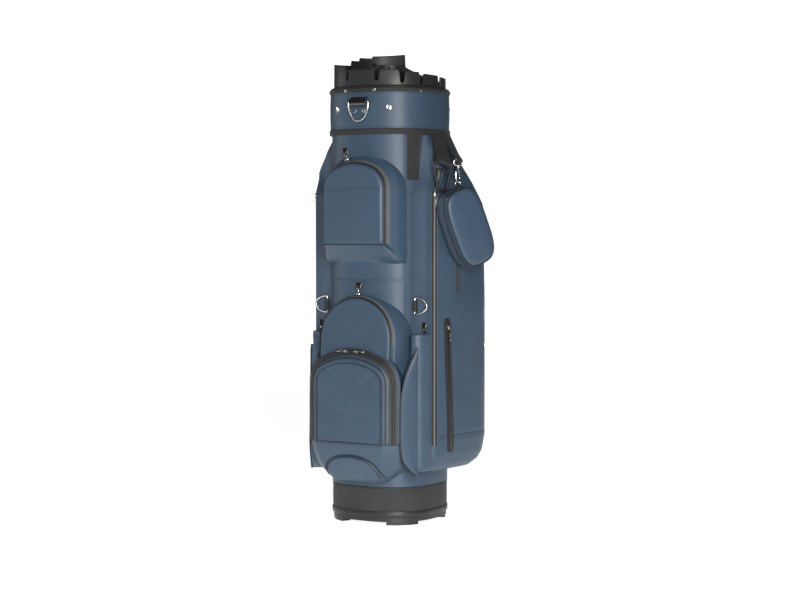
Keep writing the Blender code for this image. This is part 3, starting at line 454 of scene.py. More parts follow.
def mirror_rows(rows: Rows, side: int) -> Rows:
    """Rows on the right-hand side (1) or their mirror image on the left (-1)."""
    return [[Vector((p.x * side, p.y, p.z)) for p in row] for row in rows]


def ripple(p: Vector, scale: float, depth: float, seed: float = 0.0) -> float:
    """Smooth seeded unevenness of a sewn panel."""
    return depth * noise.noise(Vector((p.x * scale + seed, p.y * scale + seed * 0.7, p.z * scale * 0.8 - seed)))


# ---- Finishes ------------------------------------------------------------------------------------------------
class Relief(Enum):
    """The fine relief that a finish carries."""

    PEBBLE = "Pebble Grain"
    WEAVE = "Plain Weave"
    TWILL = "Webbing Ribs"
    MOULDED = "Moulded Texture"


def new_group(name: str, inputs: Sequence[tuple[str, str, float]], outputs: Sequence[str]) -> tuple:
    """Starts a shader node group.

    Args:
        name: Name of the group.
        inputs: (name, socket type, default) of each input.
        outputs: Names of the float outputs.

    Returns:
        The tree, its input node and its output node.
    """
    tree = bpy.data.node_groups.new(name, "ShaderNodeTree")
    for label, kind, default in inputs:
        socket = tree.interface.new_socket(label, in_out="INPUT", socket_type=kind)
        if kind == "NodeSocketFloat":
            socket.default_value = default
    for label in outputs:
        tree.interface.new_socket(label, in_out="OUTPUT", socket_type="NodeSocketFloat")
    return tree, tree.nodes.new("NodeGroupInput"), tree.nodes.new("NodeGroupOutput")


@dataclass
class NodeBench:
    """Shorthand for laying nodes in one tree."""

    tree: bpy.types.NodeTree

    def math(self, operation: str, a: object, b: object = None) -> bpy.types.NodeSocket:
        """Lays a Math node and returns its output. Each operand is a socket or a number."""
        node = self.tree.nodes.new("ShaderNodeMath")
        node.operation = operation
        for index, value in enumerate((a, b)):
            if value is None:
                continue
            if isinstance(value, bpy.types.NodeSocket):
                self.tree.links.new(value, node.inputs[index])
            else:
                node.inputs[index].default_value = value
        return node.outputs[0]

    def noise(self, vector: bpy.types.NodeSocket, scale: object, detail: float = 3.0,
              rough: float = 0.5) -> bpy.types.NodeSocket:
        """Lays a Noise Texture and returns its factor."""
        node = self.tree.nodes.new("ShaderNodeTexNoise")
        node.inputs["Detail"].default_value = detail
        node.inputs["Roughness"].default_value = rough
        self.tree.links.new(vector, node.inputs["Vector"])
        if isinstance(scale, bpy.types.NodeSocket):
            self.tree.links.new(scale, node.inputs["Scale"])
        else:
            node.inputs["Scale"].default_value = scale
        return node.outputs["Fac"]

    def ramp(self, value: bpy.types.NodeSocket, low: float, high: float, to_low: float = 0.0,
             to_high: float = 1.0) -> bpy.types.NodeSocket:
        """Lays a clamped Map Range and returns its result."""
        node = self.tree.nodes.new("ShaderNodeMapRange")
        for index, number in enumerate((low, high, to_low, to_high)):
            node.inputs[index + 1].default_value = number
        self.tree.links.new(value, node.inputs[0])
        return node.outputs[0]


VECTOR_INPUT = ("Vector", "NodeSocketVector", 0.0)


def pebble_group() -> bpy.types.NodeTree:
    """Coated-leather grain: soft cells with finer pores between them."""
    tree, feed, drain = new_group(Relief.PEBBLE.value, (VECTOR_INPUT, ("Scale", "NodeSocketFloat", 900.0)),
                                  ("Height", "Mask"))
    bench = NodeBench(tree)
    cells = tree.nodes.new("ShaderNodeTexVoronoi")
    cells.feature = "SMOOTH_F1"
    cells.inputs["Smoothness"].default_value = 0.45
    tree.links.new(feed.outputs["Vector"], cells.inputs["Vector"])
    tree.links.new(feed.outputs["Scale"], cells.inputs["Scale"])
    dome = bench.ramp(cells.outputs["Distance"], 0.05, 0.75, 1.0, 0.0)
    fine = bench.noise(feed.outputs["Vector"], bench.math("MULTIPLY", feed.outputs["Scale"], 2.2), 2.0)
    tree.links.new(bench.math("ADD", dome, bench.math("MULTIPLY", fine, 0.35)), drain.inputs["Height"])
    tree.links.new(dome, drain.inputs["Mask"])
    return tree


def woven(bench: NodeBench, feed: bpy.types.Node, along_only: bool) -> tuple:
    """Lays crossing yarns round the bag and up it.

    Args:
        bench: The tree to lay them in.
        feed: The group's input node, with a Vector and a Scale.
        along_only: Whether only the ribs across a webbing show.

    Returns:
        The height and the mask sockets.
    """
    tree = bench.tree
    split = tree.nodes.new("ShaderNodeSeparateXYZ")
    tree.links.new(feed.outputs["Vector"], split.inputs[0])
    turn = bench.math("MULTIPLY", bench.math("ARCTAN2", split.outputs["Y"], split.outputs["X"]), 0.11)
    scale = feed.outputs["Scale"]
    u = bench.math("MULTIPLY", turn, scale)
    v = bench.math("MULTIPLY", split.outputs["Z"], scale)
    warp = bench.math("SINE", v)
    weft = bench.math("SINE", u)
    over = bench.math("MULTIPLY", bench.math("SINE", bench.math("MULTIPLY", u, 0.5)),
                      bench.math("SINE", bench.math("MULTIPLY", v, 0.5)))
    if along_only:
        height = bench.math("ADD", bench.math("MULTIPLY", bench.math("ABSOLUTE", warp), 0.8),
                            bench.math("MULTIPLY", weft, 0.15))
    else:
        height = bench.math("ADD", bench.math("MULTIPLY", bench.math("ADD", bench.math("ABSOLUTE", warp),
                                                                     bench.math("ABSOLUTE", weft)), 0.35), over)
    return height, bench.ramp(height, -0.4, 1.1)


def weave_group(relief: Relief) -> bpy.types.NodeTree:
    """Plain weave, or the cross ribs of webbing."""
    tree, feed, drain = new_group(relief.value, (VECTOR_INPUT, ("Scale", "NodeSocketFloat", 3000.0)),
                                  ("Height", "Mask"))
    height, mask = woven(NodeBench(tree), feed, relief is Relief.TWILL)
    tree.links.new(height, drain.inputs["Height"])
    tree.links.new(mask, drain.inputs["Mask"])
    return tree


def moulded_group() -> bpy.types.NodeTree:
    """Spark-eroded texture of an injection-moulded part."""
    tree, feed, drain = new_group(Relief.MOULDED.value, (VECTOR_INPUT, ("Scale", "NodeSocketFloat", 1400.0)),
                                  ("Height", "Mask"))
    bench = NodeBench(tree)
    grains = bench.noise(feed.outputs["Vector"], feed.outputs["Scale"], 4.0, 0.65)
    tree.links.new(grains, drain.inputs["Height"])
    tree.links.new(bench.ramp(grains, 0.35, 0.65), drain.inputs["Mask"])
    return tree


def handling_group() -> bpy.types.NodeTree:
    """Uneven tone and rubbed patches, as slow masks over the whole bag."""
    tree, feed, drain = new_group("Handling", (VECTOR_INPUT, ("Patch Scale", "NodeSocketFloat", 14.0),
                                               ("Rub Scale", "NodeSocketFloat", 90.0)), ("Tone", "Rub"))
    bench = NodeBench(tree)
    slow = bench.noise(feed.outputs["Vector"], feed.outputs["Patch Scale"], 4.0, 0.6)
    tree.links.new(bench.ramp(slow, 0.3, 0.7), drain.inputs["Tone"])
    rub = bench.noise(feed.outputs["Vector"], feed.outputs["Rub Scale"], 5.0, 0.7)
    tree.links.new(bench.ramp(rub, 0.52, 0.78), drain.inputs["Rub"])
    return tree


@dataclass(frozen=True)
class Finish:
    """One finish of the bag: its colours, gloss and fine relief."""

    label: str
    slot: str
    base: Colour
    shade: Colour
    roughness: float
    relief: Relief
    relief_scale: float
    relief_depth: float
    metallic: float = 0.0
    sheen: float = 0.0
    coat: float = 0.0
    spread: float = 0.10
    specular: float = 0.5
    mark: float = 0.25

    def make(self, groups: dict[str, bpy.types.NodeTree]) -> bpy.types.Material:
        """Builds the material.

        Args:
            groups: The shared node groups by name.

        Returns:
            The material.
        """
        material = bpy.data.materials.new(self.label)
        material.use_nodes = True
        tree = material.node_tree
        bench = NodeBench(tree)
        shader = tree.nodes["Principled BSDF"]
        shader.inputs["Metallic"].default_value = self.metallic
        shader.inputs["Sheen Weight"].default_value = self.sheen
        shader.inputs["Sheen Roughness"].default_value = 0.45
        shader.inputs["Coat Weight"].default_value = self.coat
        shader.inputs["Coat Roughness"].default_value = 0.12
        shader.inputs["Specular IOR Level"].default_value = self.specular
        where = tree.nodes.new("ShaderNodeTexCoord").outputs["Object"]

        relief = tree.nodes.new("ShaderNodeGroup")
        relief.node_tree = groups[self.relief.value]
        relief.inputs["Scale"].default_value = self.relief_scale
        handling = tree.nodes.new("ShaderNodeGroup")
        handling.node_tree = groups["Handling"]
        for node in (relief, handling):
            tree.links.new(where, node.inputs["Vector"])

        tone = bench.math("ADD", bench.math("MULTIPLY", handling.outputs["Tone"], 0.6),
                          bench.math("MULTIPLY", relief.outputs["Mask"], 0.4))
        blend = tree.nodes.new("ShaderNodeMix")
        blend.data_type = "RGBA"
        blend.inputs[6].default_value = (*self.shade, 1.0)
        blend.inputs[7].default_value = (*self.base, 1.0)
        tree.links.new(tone, blend.inputs[0])
        rubbed = tree.nodes.new("ShaderNodeMix")
        rubbed.data_type = "RGBA"
        light = tuple(min(c * 1.25 + 0.006, 1.0) for c in self.base)
        rubbed.inputs[7].default_value = (*light, 1.0)
        tree.links.new(blend.outputs[2], rubbed.inputs[6])
        tree.links.new(bench.math("MULTIPLY", handling.outputs["Rub"], self.mark), rubbed.inputs[0])
        tree.links.new(rubbed.outputs[2], shader.inputs["Base Color"])

        rough = bench.math("ADD", bench.math("MULTIPLY", handling.outputs["Tone"], -self.spread * 0.6),
                           bench.math("MULTIPLY", relief.outputs["Mask"], -self.spread * 0.5))
        rough = bench.math("ADD", rough, self.roughness + self.spread * 0.55)
        rough = bench.math("ADD", rough, bench.math("MULTIPLY", handling.outputs["Rub"], 0.08 * self.mark))
        tree.links.new(rough, shader.inputs["Roughness"])

        bump = tree.nodes.new("ShaderNodeBump")
        bump.inputs["Strength"].default_value = 1.0
        bump.inputs["Distance"].default_value = self.relief_depth
        tree.links.new(relief.outputs["Height"], bump.inputs["Height"])
        tree.links.new(bump.outputs["Normal"], shader.inputs["Normal"])
        return material


@dataclass
class Wardrobe:
    """Every finish of the bag, made once and handed out by name."""

    finishes: tuple[Finish, ...] = (
        Finish("Blue Soft Cloth", "softshell", (0.036, 0.062, 0.098), (0.028, 0.049, 0.079), 0.44, Relief.PEBBLE, 950.0,
               0.00011, specular=0.42, mark=0.10),
        Finish("Blue Panel", "softshell", (0.039, 0.066, 0.103), (0.030, 0.053, 0.084), 0.42, Relief.PEBBLE, 950.0,
               0.00010, specular=0.42, mark=0.10),
        # Threads and thin cords: near-black, darkened as painted shade so that every seam reads as a dark line.
        Finish("Painted Seam Shade", "softshell", (0.010, 0.015, 0.023), (0.006, 0.009, 0.014), 0.60, Relief.MOULDED, 5200.0,
               0.00004),
        Finish("Black Piping", "binding", (0.011, 0.011, 0.011), (0.006, 0.006, 0.006), 0.44, Relief.PEBBLE, 1500.0,
               0.00006, mark=0.35),
        Finish("Black Webbing", "binding", (0.016, 0.015, 0.015), (0.006, 0.006, 0.006), 0.72, Relief.TWILL, 2600.0,
               0.00022, sheen=0.05, mark=0.30),
        Finish("Ballistic Band", "ballistic", (0.024, 0.023, 0.023), (0.007, 0.007, 0.007), 0.70, Relief.WEAVE, 3000.0,
               0.00026, sheen=0.04, mark=0.30),
        Finish("Glove Patch", "binding", (0.022, 0.021, 0.020), (0.008, 0.007, 0.007), 0.85, Relief.WEAVE, 2300.0,
               0.00040, sheen=0.08, mark=0.35),
        Finish("Zip Tape", "zip_tape", (0.013, 0.012, 0.012), (0.005, 0.005, 0.005), 0.70, Relief.TWILL, 5200.0,
               0.00010, sheen=0.04, mark=0.20),
        Finish("Grey Zip Tape", "zip_tape", (0.115, 0.112, 0.108), (0.070, 0.068, 0.066), 0.62, Relief.TWILL, 5200.0,
               0.00010, sheen=0.04, mark=0.20),
        Finish("Dark Zip Edging", "zip_tape", (0.030, 0.028, 0.027), (0.014, 0.013, 0.013), 0.55, Relief.TWILL, 5200.0,
               0.00010, sheen=0.04, mark=0.20),
        Finish("Zip Coil", "zip_tape", (0.030, 0.029, 0.029), (0.014, 0.014, 0.014), 0.36, Relief.MOULDED, 3000.0,
               0.00003),
        Finish("Grey Zip Coil", "zip_tape", (0.150, 0.146, 0.140), (0.090, 0.088, 0.085), 0.36, Relief.MOULDED, 3000.0,
               0.00003),
        Finish("Moulded Black", "moulding", (0.020, 0.020, 0.021), (0.013, 0.013, 0.014), 0.46, Relief.MOULDED, 1700.0,
               0.00007, spread=0.12, specular=0.4, mark=0.30),
        Finish("Gloss Black", "patent", (0.008, 0.008, 0.008), (0.005, 0.005, 0.005), 0.20, Relief.MOULDED, 900.0,
               0.00002, coat=0.7, mark=0.10),
        Finish("Dark Lining", "lining", (0.060, 0.062, 0.066), (0.030, 0.031, 0.034), 0.80, Relief.WEAVE, 4200.0,
               0.00014, sheen=0.2),
        Finish("Foam Pad", "foam", (0.016, 0.016, 0.016), (0.008, 0.008, 0.008), 0.90, Relief.MOULDED, 2600.0, 0.00030),
        Finish("Polished Steel", "steel", (0.80, 0.78, 0.75), (0.66, 0.64, 0.61), 0.16, Relief.MOULDED, 700.0, 0.00001,
               metallic=1.0, mark=0.20),
        Finish("Drawn Aluminium", "aluminium", (0.72, 0.73, 0.75), (0.58, 0.59, 0.61), 0.34, Relief.MOULDED, 1800.0,
               0.00003, metallic=1.0),
    )
    made: dict[str, bpy.types.Material] = field(default_factory=dict)
    slots: dict[str, str] = field(default_factory=dict)

    def __post_init__(self) -> None:
        """Builds the shared groups and then every finish."""
        groups = {tree.name: tree for tree in (
            pebble_group(), weave_group(Relief.WEAVE), weave_group(Relief.TWILL), moulded_group(), handling_group(),
        )}
        for finish in self.finishes:
            self.made[finish.label] = finish.make(groups)
            self.slots[finish.label] = finish.slot

    def dress(self, piece: bpy.types.Object, label: str, stands_for: Sequence[str] = (), body: str = "bag",
              slot: str = "") -> None:
        """Gives a piece its finish and hangs it on the body that carries it.

        Args:
            piece: The object.
            label: Name of its finish.
            stands_for: Plain solids that it replaces.
            body: Name of the moving body that it rides on.
            slot: Not used.
        """
        piece.data.materials.append(self.made[label])
        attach(piece, body)
        if stands_for:
            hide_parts(*stands_for)
        LOG.info("%s rides on %s", piece.name, body)


def section_ring(half: float, height: float, count: int = 240) -> list[Vector]:
    """One closed ring of the bag's section."""
    return [wall_point(360 * k / count, half, height) for k in range(count)]


def arc(start: float, end: float, half: float, height: float | Callable[[float], float], step: float = 1.0,
        ) -> tuple[list[Vector], list[Vector]]:
    """Part of a ring.

    Args:
        start: First angle in degrees.
        end: Last angle.
        half: Half width of the section.
        height: Height, or the height at an angle.
        step: Degrees between two points.

    Returns:
        The points and the outward normals.
    """
    count = max(int(abs(end - start) / step), 2)
    turns = spaced(start, end, count)
    rise = height if callable(height) else lambda _: height
    return [wall_point(t, half, rise(t)) for t in turns], [wall_normal(t) for t in turns]


def upright(angle: Callable[[float], float] | float, half: float, low: float, high: float,
            count: int = 40) -> tuple[list[Vector], list[Vector]]:
    """A line up the wall, whose angle may change with the height. Returns points and normals."""
    turn = angle if callable(angle) else lambda _: angle
    levels = spaced(low, high, count)
    return [wall_point(turn(z), half, z) for z in levels], [wall_normal(turn(z)) for z in levels]


def hoop(name: str, profile: Sequence[tuple[float, float]], count: int = 240,
         bump: Callable[[float, float], float] | None = None, sharp: float = 40.0) -> bpy.types.Object:
    """Runs a closed profile of (half width, height) right round the bag.

    Args:
        name: Name of the piece.
        profile: The profile's points in order.
        count: Points in one ring.
        bump: Outward displacement at an angle and a height.
        sharp: Angle above which an edge stays sharp.

    Returns:
        The object.
    """
    rows = []
    for half, z in profile:
        ring = []
        for k in range(count):
            turn = 360 * k / count
            spot = wall_point(turn, half, z)
            ring.append(spot + wall_normal(turn) * (bump(turn, z) if bump else 0.0))
        rows.append(ring)
    return lofted(name, rows, close=True, sharp=sharp)


def rounded_band(half: float, wall: float, low: float, high: float, belly: float = 0.0,
                 edge: float = 0.0009, steps: int = 6) -> list[tuple[float, float]]:
    """Profile of a band with rounded edges and a slight belly, for hoop()."""
    outer = []
    for k in range(5):
        t = math.pi / 2 * k / 4
        outer.append((half - edge + edge * math.sin(t), low + edge - edge * math.cos(t)))
    for k in range(1, steps):
        t = k / steps
        outer.append((half + belly * math.sin(math.pi * t), low + edge + (high - low - 2 * edge) * t))
    for k in range(5):
        t = math.pi / 2 * (1 - k / 4)
        outer.append((half - edge + edge * math.sin(t), high - edge + edge * math.cos(t)))
    return outer + [(half - wall, high - edge * 0.3), (half - wall, low + edge * 0.3)]


def dome(name: str, spot: Vector, normal: Vector, radius: float, height: float, slot: float = 0.0,
         ) -> bpy.types.Object:
    """A rivet or a screw head.

    Args:
        name: Name of the piece.
        spot: Its middle on the surface.
        normal: Direction it faces.
        radius: Radius of the head.
        height: Height of the head.
        slot: Turn in degrees of a screwdriver slot, or 0 for a plain rivet.

    Returns:
        The object.
    """
    shell = bmesh.new()
    matrix = aimed(UP if abs(normal.z) < 0.9 else RIGHT, normal, spot)
    rows = []
    stations = ((1.0, -0.0006), (1.0, height * 0.35), (0.93, height * 0.72), (0.74, height * 0.94), (0.42, height),
                (0.20, height))
    turn = math.radians(slot)
    for share, z in stations:
        ring = []
        for t in full_turn(28):
            x, y = radius * share * math.cos(t), radius * share * math.sin(t)
            across = abs(-x * math.sin(turn) + y * math.cos(turn))
            sink = height * 0.55 if slot and z > height * 0.8 and across < radius * 0.17 else 0.0
            ring.append(Vector((x, y, z - sink)))
        rows.append(ring)
    add_rows(shell, moved(rows, matrix), caps=True)
    return finish_mesh(name, shell, 30)


@dataclass
class FootOfBag:
    """The foot: the moulded pan's flange, the woven band over it and the foam pad inside."""

    wardrobe: Wardrobe
    band_half: float = 0.1015
    band_low: float = 0.0152
    band_high: float = 0.0714
    hem: float = 0.0105
    pad_half: float = 0.086

    def build(self) -> None:
        """Builds every piece of the foot."""
        self.band()
        self.pad()

    def band(self) -> None:
        """The woven band, its bound hem and the two rows of thread."""
        made = self.wardrobe

        def slack(turn: float, z: float) -> float:
            spot = wall_point(turn, self.band_half, z)
            return ripple(spot, 34.0, 0.00045, 3.1)

        levels = rounded_band(self.band_half, 0.0025, self.band_low + self.hem - 0.001, self.band_high, 0.0003, steps=9)
        made.dress(hoop("foot_band", levels, 260, slack), "Ballistic Band", ["base_band"])
        hem = rounded_band(self.band_half + 0.0011, 0.0030, self.band_low - 0.0006, self.band_low + self.hem, 0.0005)
        made.dress(hoop("foot_hem", hem, 260, slack), "Black Piping")
        for index, z in enumerate((self.band_low + self.hem - 0.0016, self.band_high - 0.0030)):
            path, normals = arc(0, 360, self.band_half + (0.0012 if index == 0 else 0.0003), z)
            made.dress(stitch_line(f"foot_stitch_{index}", path, normals), "Black Piping")

    def pad(self) -> None:
        """The foam pad that the club grips stand on."""
        rows = []
        softened = 1 - 0.0012 / self.pad_half
        for share, z in ((0.0, 0.0144), (0.6, 0.0144), (1.0, 0.0148), (1.0, 0.0214), (softened, 0.0222), (0.66, 0.0223),
                         (0.33, 0.0222)):
            rows.append(section_ring(max(self.pad_half * share, 0.002), z, 96))
        self.wardrobe.dress(lofted("foot_pad", rows, caps=True), "Foam Pad", ["base_pad"])


@dataclass
class Tube:
    """The bag's tube: its outer skin, seams, piping, lining and the fabric walls inside."""

    wardrobe: Wardrobe
    low: float = 0.072
    high: float = 0.8125
    wall: float = 0.0025
    panel_left: float = -44.0
    panel_right: float = 48.0
    cross_seam: float = 0.4560
    panel_lift: float = 0.0006
    seam_sink: float = 0.0007
    dividers: tuple[tuple[str, float], ...] = (("front_divider", 0.0), ("right_divider", 117.5),
                                               ("left_divider", 230.6))

    def build(self) -> None:
        """Builds the skin, the seams and the inner walls."""
        self.skin()
        self.seams()
        self.inner_walls()

    def skin(self) -> None:
        """The soft-shell skin, padded between its seams, with the lining behind it."""
        def surface(turn: float, z: float) -> float:
            turn = (turn + 180) % 360 - 180
            spot = wall_point(turn, SHELL_HALF, z)
            ends = min((z - self.low) / 0.03, (self.high - z) / 0.09, 1.0)
            lift = ripple(spot, 16.0, 0.0007, 5.0) + ripple(spot, 45.0, 0.00025, 9.0)
            inside = min(turn - self.panel_left, self.panel_right - turn)
            if inside > 0:
                lift += self.panel_lift * min(inside / 3.0, 1.0)
                lift -= self.seam_sink * math.exp(-(((z - self.cross_seam) / 0.0030) ** 2))
            return lift * max(ends, 0.0)

        profile = [(SHELL_HALF, z) for z in spaced(self.low, self.high, 150)]
        profile += [(SHELL_HALF - self.wall, self.high), (SHELL_HALF - self.wall, self.low)]
        skin = hoop("tube_skin", profile, 300, surface)
        self.wardrobe.dress(skin, "Blue Soft Cloth", ["body_shell"])
        inner = SHELL_HALF - self.wall - 0.0004
        lining = hoop("tube_lining", [(inner, self.low + 0.026), (inner, 0.7440), (inner - 0.0006, 0.7440),
                                      (inner - 0.0006, self.low + 0.026)], 200)
        self.wardrobe.dress(lining, "Dark Lining")

    def seams(self) -> None:
        """Folded seams up the panel's edges and across it, with their rows of thread."""
        made = self.wardrobe
        lines = {
            "left_panel": upright(self.panel_left, SHELL_HALF + 0.0004, 0.150, UNDER_CUFF, 90),
            "right_panel": upright(self.panel_right, SHELL_HALF + 0.0004, 0.150, UNDER_CUFF, 90),
            "spine_left": upright(-151.0, SHELL_HALF + 0.0003, 0.080, UNDER_CUFF, 90),
            "spine_right": upright(151.0, SHELL_HALF + 0.0003, 0.080, UNDER_CUFF, 90),
            "cross": arc(self.panel_left, self.panel_right, SHELL_HALF + 0.0004, self.cross_seam),
            "foot_left": arc(-200.0, -120.0, SHELL_HALF + 0.0003, 0.160),
        }
        for name, (path, normals) in lines.items():
            piece = lofted(f"tube_seam_{name}", ribbon_rows(path, normals, 0.0052, 0.0007, -0.0003), caps=True)
            made.dress(piece, "Blue Soft Cloth")
            for side, letter in ((-1, "a"), (1, "b")):
                line = beside(path, normals, 0.0016 * side)
                thread = stitch_line(f"tube_thread_{name}_{letter}", line, normals, lift=0.0004)
                made.dress(thread, "Painted Seam Shade")
        for side, name in SIDES:
            path, normals = upright(lambda z: side * (55.0 + 9.0 * max((z - 0.40) / 0.327, 0.0) ** 1.3),
                                    SHELL_HALF + 0.0008, 0.330, 0.7275, 70)
            cord = tube(f"tube_piping_{name}", offset_along(path, normals, 0.0004), 0.0014, hint=normals[0])
            made.dress(cord, "Black Piping")

    def inner_walls(self) -> None:
        """The fabric walls that carry three of the organiser's walls down to the foot."""
        for name, turn in self.dividers:
            out, side = rotated_frame(turn)
            rows = []
            for z in spaced(0.0228, 0.7442, 40):
                ring = []
                for j, share in enumerate((0.02, 0.25, 0.5, 0.75, 1.0, 1.0, 0.75, 0.5, 0.25, 0.02)):
                    thick = 0.0005 if j < 5 else -0.0005
                    sway = 0.0016 * math.sin(math.pi * share) * math.sin(z * 21 + turn)
                    ring.append(out * (0.004 + 0.0806 * share) + side * (thick + sway) + UP * z)
                rows.append(ring)
            self.wardrobe.dress(lofted(f"{name}_cloth", rows, caps=True, sharp=60), "Dark Lining", [name])


@dataclass
class Cuff:
    """The cuff round the top: a padded panel between two bindings, with its rivets and screws."""

    wardrobe: Wardrobe
    half: float = 0.1052
    low: float = 0.7394
    high: float = 0.8056
    binding_half: float = 0.1068

    def build(self) -> None:
        """Builds the panel, the bindings and the fasteners."""
        made = self.wardrobe

        def slack(turn: float, z: float) -> float:
            fade = math.sin(math.pi * clamped((z - self.low) / (self.high - self.low)))
            return ripple(wall_point(turn, self.half, z), 38.0, 0.0006, 7.7) * fade

        panel = hoop("cuff_cloth", rounded_band(self.half, 0.0022, self.low - 0.001, self.high + 0.001, 0.0007,
                                                steps=14), 280, slack)
        made.dress(panel, "Blue Soft Cloth", ["cuff_panel"])
        for name, low, high in (("lower", 0.7280, 0.7390), ("upper", 0.8060, 0.8140)):
            band = hoop(f"cuff_{name}_tape", rounded_band(self.binding_half, 0.0036, low, high, 0.0004, 0.0014), 280,
                        lambda turn, z: ripple(wall_point(turn, 0.1, z), 60.0, 0.00025, 1.7))
            made.dress(band, "Black Webbing", [f"cuff_{name}_binding"])
            for index, z in enumerate((low + 0.0019, high - 0.0019)):
                path, normals = arc(0, 360, self.binding_half + 0.0002, z)
                made.dress(stitch_line(f"cuff_{name}_thread_{index}", path, normals), "Black Piping")
        for index, z in enumerate((self.low + 0.0030, self.high - 0.0030)):
            path, normals = arc(0, 360, self.half + 0.0003, z)
            made.dress(stitch_line(f"cuff_thread_{index}", path, normals), "Painted Seam Shade")
        self.fasteners()

    def fasteners(self) -> None:
        """Rivets on the upper binding and screws in the middle of the cuff."""
        for index, turn in enumerate((-62.0, -16.5, 16.5, 62.0, 180.0)):
            head = dome(f"cuff_rivet_{index}", wall_point(turn, self.binding_half, 0.8100), wall_normal(turn), 0.0032,
                        0.0014)
            self.wardrobe.dress(head, "Polished Steel")
        screws = ((-30.0, 35.0), (30.5, -20.0), (120.0, 65.0), (-120.0, 15.0), (180.0, 80.0))
        for index, (turn, slot) in enumerate(screws):
            head = dome(f"cuff_screw_{index}", wall_point(turn, self.half + 0.0004, 0.7765), wall_normal(turn), 0.0057,
                        0.0018, slot)
            self.wardrobe.dress(head, "Polished Steel")


# ---- Club organiser --------------------------------------------------------------------------------------------
@dataclass(frozen=True)
class Rim:
    """The organiser's spiral rim: stretches that step down round the bag, and the notches for the shafts."""

    stretches: tuple[tuple[float, float, float], ...] = (
        (-166.4, 0.8920, 0.8890), (-129.4, 0.8850, 0.8845), (-113.0, 0.8780, 0.8776), (-99.3, 0.8680, 0.8640),
        (-52.0, 0.8600, 0.8570), (-20.0, 0.8500, 0.8490), (17.5, 0.8480, 0.8475), (44.0, 0.8445, 0.8435),
        (66.5, 0.8415, 0.8405), (100.0, 0.8390, 0.8375), (135.0, 0.8360, 0.8345), (168.0, 0.8330, 0.8320),
    )
    notches: tuple[float, ...] = (-52.0, -20.0, 17.5, 44.0, 66.5, 100.0, 135.0, 168.0)
    notch_top: float = 3.6
    notch_foot: float = 1.6
    notch_depth: float = 0.020
    step_run: float = 1.6

    def crest(self, turn: float) -> float:
        """Height of the rim at an angle, without its notches."""
        start_of_spiral = self.stretches[0][0]
        turn = (turn - start_of_spiral) % 360 + start_of_spiral
        ends = [s[0] for s in self.stretches[1:]] + [start_of_spiral + 360]
        for index, ((start, first, last), end) in enumerate(zip(self.stretches, ends)):
            if start <= turn < end:
                base = first + (last - first) * (turn - start) / (end - start)
                if start not in self.notches:
                    before = self.stretches[index - 1][2]
                    base = before + (base - before) * eased(min((turn - start) / self.step_run, 1.0))
                return base
        return self.stretches[-1][2]

    def height(self, turn: float) -> float:
        """Height of the rim at an angle, notches included."""
        best = self.crest(turn)
        for notch in self.notches:
            offset = (turn - notch + 180) % 360 - 180
            away = abs(offset)
            if away >= self.notch_top:
                continue
            shoulders = [self.crest(notch - self.notch_top), self.crest(notch + self.notch_top)]
            floor = min(shoulders) - self.notch_depth
            near = shoulders[0] if offset < 0 else shoulders[1]
            share = max(0.0, (away - self.notch_foot) / (self.notch_top - self.notch_foot))
            best = min(best, floor + (near - floor) * eased(share))
        return best


